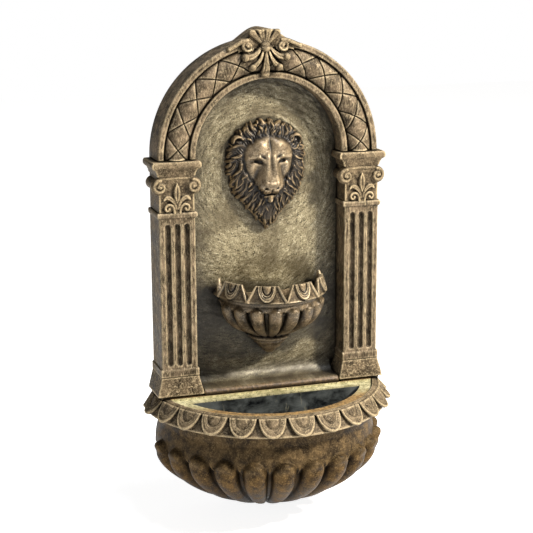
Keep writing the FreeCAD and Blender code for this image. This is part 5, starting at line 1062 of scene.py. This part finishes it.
def palmette_carving(x, z):
    """A fan above a round boss, five leaves with ball tips below it, and a scroll at each side."""
    relief = Relief(x - 62, x + 62, z - 52, z + 34, 0.6)
    for tip_x, tip_z, wide, ribs in ((-20.0, 21.0, 5.6, 1), (-7.4, 27.0, 7.0, 2), (7.0, 27.0, 7.0, 2),
                                     (20.5, 21.5, 5.6, 1)):
        rib = bent([(tip_x * 0.22, 3.0), (tip_x * 0.6, tip_z * 0.55), (tip_x, tip_z)], x, z)
        s = np.linspace(0, 1, len(rib))
        groove = 1.6 if ribs == 2 else 0.0
        relief.stroke(rib, wide * (0.36 + 0.64 * s), 0.5, 3.2 + 0.8 * s, ribs, groove, 0.35)
    for way in (-1, 1):
        upper = bent([(7.0, -1.0), (13.0, -9.0), (22.0, -16.0), (33.0, -16.5)], x, z, way)
        s = np.linspace(0, 1, len(upper))
        relief.stroke(upper, 2.2 + 4.2 * s ** 0.8, 1.0, 3.8, 2, 1.8, 0.45)
        relief.mound(x + way * 34.0, z - 16.5, 6.0, 6.4, 2.5, 6.5)
        lower = bent([(4.0, -5.0), (8.0, -17.0), (15.0, -27.0), (21.5, -31.5)], x, z, way)
        relief.stroke(lower, 1.8 + 3.4 * s ** 0.8, 1.0, 4.2, 2, 1.8, 0.45)
        relief.mound(x + way * 22.0, z - 32.5, 6.0, 6.2, 2.5, 6.5)
        relief.mound(x + way * 28.5, z + 0.6, 11.5, 11.5, 0.6, 1.4)
        lead = [(x + way * 58.0, z - 1.8 + way * 1.5), (x + way * 48.0, z + 3.0 + way),
                (x + way * 38.0, z + 8.0)]
        scroll(relief, x + way * 28.5, z + 0.6, 8.6, 1.15, -way, 3.5, 1.6, 3.8, lead)
    middle = bent([(0.0, -6.0), (0.0, -22.0), (0.5, -42.0)], x, z)
    s = np.linspace(0, 1, len(middle))
    relief.stroke(middle, 2.0 + 5.8 * s, 1.0, 4.4, 3, 1.8, 0.45)
    relief.mound(x + 0.5, z - 44.5, 6.6, 4.8, 2.0, 5.0)
    relief.mound(x, z, 8.2, 8.2, 3.5, 7.0)
    relief.h += np.where(relief.h > relief.floor, bulge_height(relief.x, relief.z), 0.0)
    relief.soften(1)
    return relief


def make_palmette():
    """The carving on a crest that follows the arch and peaks over the fan."""
    x, boss_z, front, arch_r = -8.5, 173.0, 60.5, 183.0
    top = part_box("keystone_palmette")[1].z / MM - 0.7
    crest = []
    for s in np.linspace(-1, 1, 41):
        px = x + 3.0 + 46.0 * s
        pz = math.sqrt(max(0.0, arch_r ** 2 - px ** 2))
        peak = pz + (top - 182.6) * math.cos(math.pi / 2 * s) ** 1.6
        crest.append([(px, -4.0, peak), (px, -front + 1.5, peak), (px, -front, peak - 1.5),
                      (px, -front, pz - 12.0), (px, -4.0, pz - 12.0)])
    relief = palmette_carving(x, boss_z)
    relief.h[relief.z > top - 1.6] = relief.floor
    carving = relief.solid("carving", -front, -front + 9.0)
    piece = join("palmette_keystone", [outward(piece_from("crest", *capped(crest))), carving])
    return cast(piece, voxel=0.7, soften=1, rough=0.2, grain=4.0)


stand_for(make_palmette(), ornament, "keystone_palmette")


# Repeats round an upright axis

def ring_of(name, source, count, first_deg, step_deg, centre):
    """Copies of one carved piece turned round an upright axis, made by a small node tree."""
    tree = bpy.data.node_groups.new(name + "_ring", "GeometryNodeTree")
    inputs = {"Carving": ("Object", source), "Count": ("Int", count),
              "First angle": ("Float", math.radians(first_deg)),
              "Step angle": ("Float", math.radians(step_deg)),
              "Axis place": ("Vector", tuple(c * MM for c in centre)), "Finish": ("Material", ornament)}
    for label, (kind, _) in inputs.items():
        tree.interface.new_socket(label, in_out="INPUT", socket_type="NodeSocket" + kind)
    tree.interface.new_socket("Geometry", in_out="OUTPUT", socket_type="NodeSocketGeometry")
    given = add(tree, "NodeGroupInput").outputs
    index = add(tree, "GeometryNodeInputIndex")
    swung = add(tree, "ShaderNodeMath", {"operation": "MULTIPLY_ADD"},
                {0: index.outputs[0], 1: given["Step angle"], 2: given["First angle"]})
    turned = add(tree, "ShaderNodeCombineXYZ", links={"Z": swung.outputs[0]})
    dots = add(tree, "GeometryNodePoints", links={"Count": given["Count"], "Position": given["Axis place"]})
    carved = add(tree, "GeometryNodeObjectInfo", {"transform_space": "ORIGINAL"},
                 {"Object": given["Carving"]})
    placed = add(tree, "GeometryNodeInstanceOnPoints",
                 links={"Points": dots.outputs[0], "Instance": carved.outputs["Geometry"],
                        "Rotation": turned.outputs[0]})
    real = add(tree, "GeometryNodeRealizeInstances", links={"Geometry": placed.outputs[0]})
    finished = add(tree, "GeometryNodeSetMaterial", links={"Geometry": real.outputs[0],
                                                           "Material": given["Finish"]})
    add(tree, "NodeGroupOutput", links={0: finished.outputs[0]})
    holder = piece_from(name, [(0, 0, 0)], [])
    modifier = holder.modifiers.new("ring", "NODES")
    modifier.node_group = tree
    for item in tree.interface.items_tree:
        if item.in_out == "INPUT":
            modifier[item.identifier] = inputs[item.name][1]
    settle(holder)
    bpy.data.objects.remove(source)
    return holder


def carved_egg(e, rise=1.0):
    """Height of the carving over an egg: a border, a bead line and a domed middle; e is 1 at its edge."""
    border = 3.2 * np.clip((1.0 - e) / 0.06, 0, 1) ** 0.5 - 0.9 * np.exp(-((e - 0.84) / 0.07) ** 2)
    bead = 0.3 + 2.6 * np.exp(-((e - 0.61) / 0.05) ** 2)
    middle = 0.2 + 3.4 * np.sqrt(np.clip(1 - (e / 0.50) ** 2, 0, 1))
    inner = np.where(e > 0.54, bead, middle)
    return rise * np.where(e > 0.69, border, inner)


# Basin rim

PETALS, PETAL_HALF_W, PETAL_LENGTH, PETAL_FLARE = 13, 21.8, 32.0, 4.6
RIM_BACK = -0.6


def petal_leaf(top_r, top_z, foot_r, foot_z):
    """One pointed petal lying on the rim's slope at the front, thick enough to sink into it."""
    run, fall = foot_r - top_r, top_z - foot_z
    slope = math.hypot(run, fall)
    out, down = run / slope, fall / slope
    rings = []
    w = np.linspace(-1, 1, 49)
    for t in np.linspace(0, 0.999, 52):
        half = PETAL_HALF_W * (1 - t ** 2.1) ** 0.5
        x = w * half
        e = ((np.abs(w) * half / PETAL_HALF_W) ** 2.0 + t ** 2.1) ** 0.5
        s = t * PETAL_LENGTH
        flare = PETAL_FLARE * t ** 1.8
        bulge = 1 - np.cos(np.abs(x) / top_r)
        skins = []
        front = carved_egg(np.minimum(e, 1.0)) + flare
        for wide, lift in ((1.0, front), (0.96, -4.0 + flare * 0.75 + 1.0 * t)):
            y = -(top_r + s * out + lift * down) + bulge * top_r
            z = top_z - s * down + lift * out * 0.8
            skins.append(np.stack([x * wide, y, z + 0 * x], 1))
        rings.append(np.concatenate([skins[0], skins[1][::-1]]))
    return outward(piece_from("petal", *capped(rings)))


def half_ring(section):
    """A closed section of (radius, height) swept round the basin's front and straight back to the wall."""
    section = np.array(section, float)
    rings = []
    for degrees in [-90.001] + list(np.linspace(-90.0, 90.0, 181)) + [90.001]:
        angle = math.radians(min(max(degrees, -90.0), 90.0))
        y = BASIN_Y - section[:, 0] * math.cos(angle)
        if abs(degrees) > 90.0:
            y = np.full_like(y, RIM_BACK)
        rings.append(np.stack([section[:, 0] * math.sin(angle), y, section[:, 1]], 1))
    return capped(rings)


def make_basin_rim():
    """The lip and its sloping skirt with its petals, and a deck and a back wall that close it at the wall."""
    top, foot = DECK_TOP, DECK_TOP - 30.3
    skirt = [(181.2, top - DECK_T), (181.2, top - 1.0), (182.0, top - 0.3), (LIP_R - 2.0, top - 0.2),
             (LIP_R + 1.2, top - 0.8), (LIP_R + 2.2, top - 2.4), (LIP_R + 1.0, top - 3.8),
             (193.0, top - 11.0), (199.0, top - 20.0), (204.5, top - 27.8), (204.0, top - 30.2),
             (201.0, top - 30.4),
             (NECK_R - 4.0, top - 30.2), (NECK_R - 6.0, top - DECK_T)]
    blocks = [half_ring(skirt), slab(-182.5, 182.5, -66.9, RIM_BACK, top - DECK_T, top - 0.2),
              slab(-181.0, 181.0, -4.6, RIM_BACK, foot, top - DECK_T + 0.4)]
    blocks = [outward(piece_from("rim_block", *block)) for block in blocks]
    petal = petal_leaf(190.6, top - 2.6, 206.0, top - 26.0)
    step = 180 / PETALS
    petals = ring_of("petals_of_basin", petal, PETALS, -(PETALS // 2) * step, step, (0, BASIN_Y, 0))
    rim = join("petalled_basin_rim", blocks + [petals])
    return cast(rim, voxel=0.95, soften=1, rough=0.4, grain=5.0, keep=0.5)


stand_for(make_basin_rim(), ornament, "basin_rim")


# Upper bowl

CUP_TOP, TONGUE_DEPTH, BOWL_LOBE_RISE = -226.0, 24.0, 16.0
# Degrees round the bowl from its front: the middles of the V cuts and of the tongues, half the width of a cut,
# the width of a gadroon, and how far to each side the gadroons reach
VEES, TONGUES, VEE_HALF_DEG = (-80, -40, 0, 40, 80), (-60, -20, 20, 60), 7.6
BOWL_LOBE_DEG, BOWL_LOBED_DEG = 21.0, 84.0
# Radius and height
BOWL_NECK = ((94.0, -226.4), (90.0, -227.0), (84.5, -227.4), (84.0, -229.5), (85.0, -231.5))
BOWL_FINIAL = ((31.0, -297.8), (33.0, -299.5), (34.5, -302.0), (33.0, -304.6), (28.0, -305.4), (25.0, -306.4),
               (26.0, -309.0), (24.5, -313.0), (19.0, -314.4), (19.5, -318.0), (17.0, -322.0), (12.0, -323.4),
               (11.5, -327.0), (7.5, -331.0), (2.0, -331.6))


def nearest(degrees, places):
    """Degrees to the nearest of some places."""
    return np.min([np.abs(degrees - place) for place in places], axis=0)


def bowl_petals(degrees, top):
    """Radii and heights of the scalloped band: bordered tongues between V cuts, with an egg on each."""
    foot, foot_r, top_r = -225.0, 95.5, 88.0
    off, along_deg = nearest(degrees, VEES), nearest(degrees, TONGUES)
    rows = []
    for t in np.linspace(0, 1, 34):
        z = top * (1 - t) + (foot - 0.6) * t
        level = (BOWL_TOP - z) / (BOWL_TOP - foot)
        r = top_r + (foot_r - top_r) * level
        vee = VEE_HALF_DEG * (1 - np.clip((BOWL_TOP - z) / TONGUE_DEPTH, 0, 1))
        gap = np.radians(np.maximum(off - vee, 0)) * r
        border = 3.6 * np.clip(1.35 - gap / 3.4, 0, 1) ** 0.5
        along = np.radians(along_deg) * r / 15.0
        e = np.sqrt(along ** 2 + (np.clip(level - 0.06, 0, None) / 0.90) ** 2)
        egg = np.where(e < 1, carved_egg(np.minimum(e, 1.0), 1.35) + 1.5 * level, 0.0)
        rows.append((r - 3.6 + np.maximum(border, egg), z))
    return rows


def bowl_body(degrees):
    """Radii and heights of the gadrooned cup below the band."""
    levels = [(85.5, -234.0)]
    for s in np.linspace(0.02, 1, 44):
        levels.append((32.0 + 55.5 * math.cos(math.pi / 2 * s ** 1.35) ** 0.80, -235.0 - 62.0 * s))
    position = ((degrees + BOWL_LOBED_DEG) % BOWL_LOBE_DEG) / BOWL_LOBE_DEG * 2 - 1
    swell = np.where(np.abs(degrees) <= BOWL_LOBED_DEG, lobe(position) - 0.60, -0.60)
    start = -236.5 - 8.0 * np.abs(position) ** 1.8
    rows = []
    for r, z in levels:
        inward = np.sin(np.clip((start - z) / 7.0, 0, 1) * np.pi / 2)
        fade = np.clip((z + 300.0) / 20.0, 0.3, 1)
        rows.append((r - 2.5 + BOWL_LOBE_RISE * swell * inward * fade, z))
    return rows


def make_bowl(columns=541):
    degrees = np.linspace(-90, 90, columns)
    angles = np.radians(degrees)
    top = BOWL_TOP - TONGUE_DEPTH * np.clip(1 - nearest(degrees, VEES) / VEE_HALF_DEG, 0, 1)
    hollow = [(8.0, -284.0)]
    for s in np.linspace(0.1, 1, 16):
        hollow.append((8.0 + 70.0 * math.sin(math.pi / 2 * s), -284.0 + 50.0 * s ** 2))
    lining = []
    for t in (0.0, 0.35, 0.7, 1.0):
        z = CUP_TOP * (1 - t) + (top - 0.3) * t
        lining.append((82.0 + 2.0 * np.clip((z - CUP_TOP) / 27.0, 0, 1), z))
    outside = bowl_petals(degrees, top) + list(BOWL_NECK) + bowl_body(degrees) + list(BOWL_FINIAL)
    back_y = NICHE_Y - 0.4
    rings = []
    for k, (r, z) in enumerate(hollow + lining + outside):
        row = np.stack(np.broadcast_arrays(BOWL_X + r * np.sin(angles), BOWL_Y - r * np.cos(angles), z), 1)
        left, right = row[0].copy(), row[-1].copy()
        left[1] = right[1] = back_y - 4.5 if k < len(hollow) else back_y
        if left[2] > CUP_TOP:
            left[2] = right[2] = CUP_TOP
        across = np.linspace(0, 1, 12)[1:-1, None]
        rings.append(np.concatenate([[left], row, [right], right * (1 - across) + left * across]))
    return smooth_shading(outward(piece_from("scalloped_bowl", *capped(rings))))


stand_for(make_bowl(), bowl_bronze, "upper_bowl")


# Niche with its trowelled face, cove and sill

def trowelled(x, z):
    """Height of the trowel marks: rings round the mask above, and wide sweeps below."""
    drift = mathutils.noise.noise(Vector((x * 0.03, z * 0.03, 0.0)))
    lower = min(1.0, max(0.0, (-118.0 - z + 60.0 * drift) / 50.0))
    marks = 0.0
    for cx, cz, share in ((0.0, MASK_Z, 1.0 - lower), (-60.0, -60.0, lower)):
        far = math.hypot(x - cx, z - cz) + 9.0 * drift
        turn = math.atan2(z - cz, x - cx)
        marks += share * mathutils.noise.fractal(Vector((far / 6.0, turn * 6.0, 0.0)), 1.0, 2.1, 3)
    return 0.45 * marks + 0.45 * mathutils.noise.fractal(Vector((x / 9.0, z / 9.0, 5.0)), 1.0, 2.0, 3)


def mane_lip(x, z):
    """Height of the lip of stucco pressed up round the mane, highest above it."""
    angle = math.atan2(z - MASK_Z, x)
    gap = math.hypot(x, z - MASK_Z) - edge_radius(MANE_EDGE, angle)
    share = min(1.0, max(0.0, math.sin(angle) + 0.35))
    return 1.3 * share * math.exp(-((gap - 3.4) / 1.5) ** 2)


def make_niche(columns=146, pitch=1.65, sill_half=116.0):
    """The panel's front skin, swept forward at its foot, made into a sheet."""
    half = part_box("niche_panel")[1].x / MM - 0.2
    corner = SILL_TOP + COVE_R
    line = [(z, -NICHE_Y) for z in np.arange(122.0, corner, -pitch)]
    for angle in np.linspace(0, 1, 20) * math.pi / 2:
        line.append((corner - COVE_R * math.sin(angle), -NICHE_Y + COVE_R * (1 - math.cos(angle))))
    line += [(SILL_TOP, depth) for depth in np.linspace(47.0, SILL_FRONT - 3.2, 12)]
    line += [(SILL_TOP - 0.9, SILL_FRONT - 1.4), (SILL_TOP - 3.0, SILL_FRONT), (DECK_TOP + 0.1, SILL_FRONT)]
    grid = []
    for z, depth in line:
        wide = sill_half
        if z >= corner:
            wide = min(half, math.sqrt(max(0.0, (ARCH_INNER - 0.2) ** 2 - max(0.0, z) ** 2)) + 4.0)
        swept = min(1.0, max(0.0, (corner - z) / COVE_R))
        row = []
        for x in np.linspace(-wide, wide, columns):
            rise = trowelled(x, z)
            if z > corner:
                rise += mane_lip(x, z)
            elif depth > 45.0:
                rise *= 0.5
            row.append((x, -depth - rise * (1 - swept), z + rise * swept * 0.6))
        grid.append(row)
    piece = piece_from("trowelled_niche", *lattice(grid))
    thick = piece.modifiers.new("sheet", "SOLIDIFY")
    thick.thickness = 3.2 * MM
    thick.offset = -1.0
    return smooth_shading(settle(piece))


stand_for(make_niche(), stucco, "niche_panel")


# Stage, lamps and camera

# Metres, degrees and strengths; the camera's target, lens and sensor are in millimetres
FLOOR_HALF, FLOOR_DROP, FLOOR_GLOW, WORLD_LEVEL = 6.0, 0.0005, 0.88, 0.10
CAMERA_YAW, CAMERA_PITCH, CAMERA_ROLL, CAMERA_FAR = 17.86, 13.32, -0.29, 2.331
CAMERA_TARGET, CAMERA_LENS_MM, CAMERA_SENSOR_MM = (0.46, -36.8, -187.3), 95.98, 36.0


def white_rays(tree, *kinds):
    """1 for rays from the camera and of the named kinds, which see plain white."""
    ray = add(tree, "ShaderNodeLightPath").outputs
    seen = ray["Is Camera Ray"]
    for kind in kinds:
        seen = product(tree, seen, ray[kind], "MAXIMUM")
    return seen


def make_stage():
    """A floor that takes the shadow and is seen as white."""
    mesh = bpy.data.meshes.new("studio_floor")
    z = cad_box[0][2] - FLOOR_DROP
    corners = [(x * FLOOR_HALF, y * FLOOR_HALF, z) for x, y in ((-1, -1), (1, -1), (1, 1), (-1, 1))]
    mesh.from_pydata(corners, [], [(0, 1, 2, 3)])
    floor = linked("studio_floor", mesh)
    material, tree, shader = fresh("white_studio_floor")
    shader.inputs["Base Color"].default_value = linear("#f4f4f4")
    shader.inputs["Roughness"].default_value = 0.9
    seen = white_rays(tree, "Is Transmission Ray", "Is Glossy Ray")
    glow = add(tree, "ShaderNodeEmission", {"Color": linear("#ffffff")},
               {"Strength": product(tree, seen, FLOOR_GLOW)})
    both = add(tree, "ShaderNodeAddShader", links={0: shader.outputs[0], 1: glow.outputs[0]})
    output = [n for n in tree.nodes if n.type == "OUTPUT_MATERIAL"][0]
    tree.links.new(both.outputs[0], output.inputs["Surface"])
    mesh.materials.append(material)


def white_surround():
    """A soft world that the camera and glass see as plain white."""
    world = bpy.data.worlds.new("studio")
    bpy.context.scene.world = world
    world.use_nodes = True
    tree = world.node_tree
    tree.nodes.clear()
    seen = white_rays(tree, "Is Transmission Ray")
    soft = add(tree, "ShaderNodeBackground", {"Color": linear("#f4f2ee"), "Strength": WORLD_LEVEL})
    white = add(tree, "ShaderNodeBackground", {"Color": linear("#ffffff"), "Strength": 1.0})
    pick = add(tree, "ShaderNodeMixShader", links={0: seen, 1: soft.outputs[0], 2: white.outputs[0]})
    add(tree, "ShaderNodeOutputWorld", links={0: pick.outputs[0]})


def lamp(name, place, aim, size, watts, tint="#ffffff"):
    light = bpy.data.lights.new(name, "AREA")
    light.shape = "DISK"
    light.size = size
    light.energy = watts
    light.color = linear(tint)[:3]
    holder = linked(name, light)
    holder.location = place
    holder.rotation_euler = (Vector(aim) - Vector(place)).to_track_quat("-Z", "Y").to_euler()


def place_camera():
    """The photograph's view: from the fountain's left and a little above."""
    yaw, pitch, roll = (math.radians(a) for a in (CAMERA_YAW, CAMERA_PITCH, CAMERA_ROLL))
    look = Vector((math.sin(yaw) * math.cos(pitch), math.cos(yaw) * math.cos(pitch), -math.sin(pitch)))
    right = Vector((math.cos(yaw), -math.sin(yaw), 0))
    up = right.cross(look)
    across = right * math.cos(roll) + up * math.sin(roll)
    rise = up * math.cos(roll) - right * math.sin(roll)
    data = bpy.data.cameras.new("view")
    data.sensor_width = CAMERA_SENSOR_MM
    data.lens = CAMERA_LENS_MM
    data.clip_start = 0.05
    data.clip_end = 50.0
    holder = linked("view", data)
    turn = Matrix((across, rise, -look)).transposed().to_4x4()
    holder.matrix_world = Matrix.Translation(Vector(CAMERA_TARGET) * MM - look * CAMERA_FAR) @ turn
    bpy.context.scene.camera = holder


make_stage()
white_surround()
lamp("key", (1.55, -1.45, 1.35), (0.0, 0.0, -0.15), 0.30, 122.0, "#fff6e8")
lamp("fill", (-1.9, -1.5, 0.3), (0.0, 0.0, -0.2), 1.4, 5.0)
lamp("top", (0.25, -0.55, 2.0), (0.0, -0.05, -0.2), 0.7, 26.0, "#eaf1ff")
place_camera()
bpy.context.scene.view_settings.view_transform = "Standard"
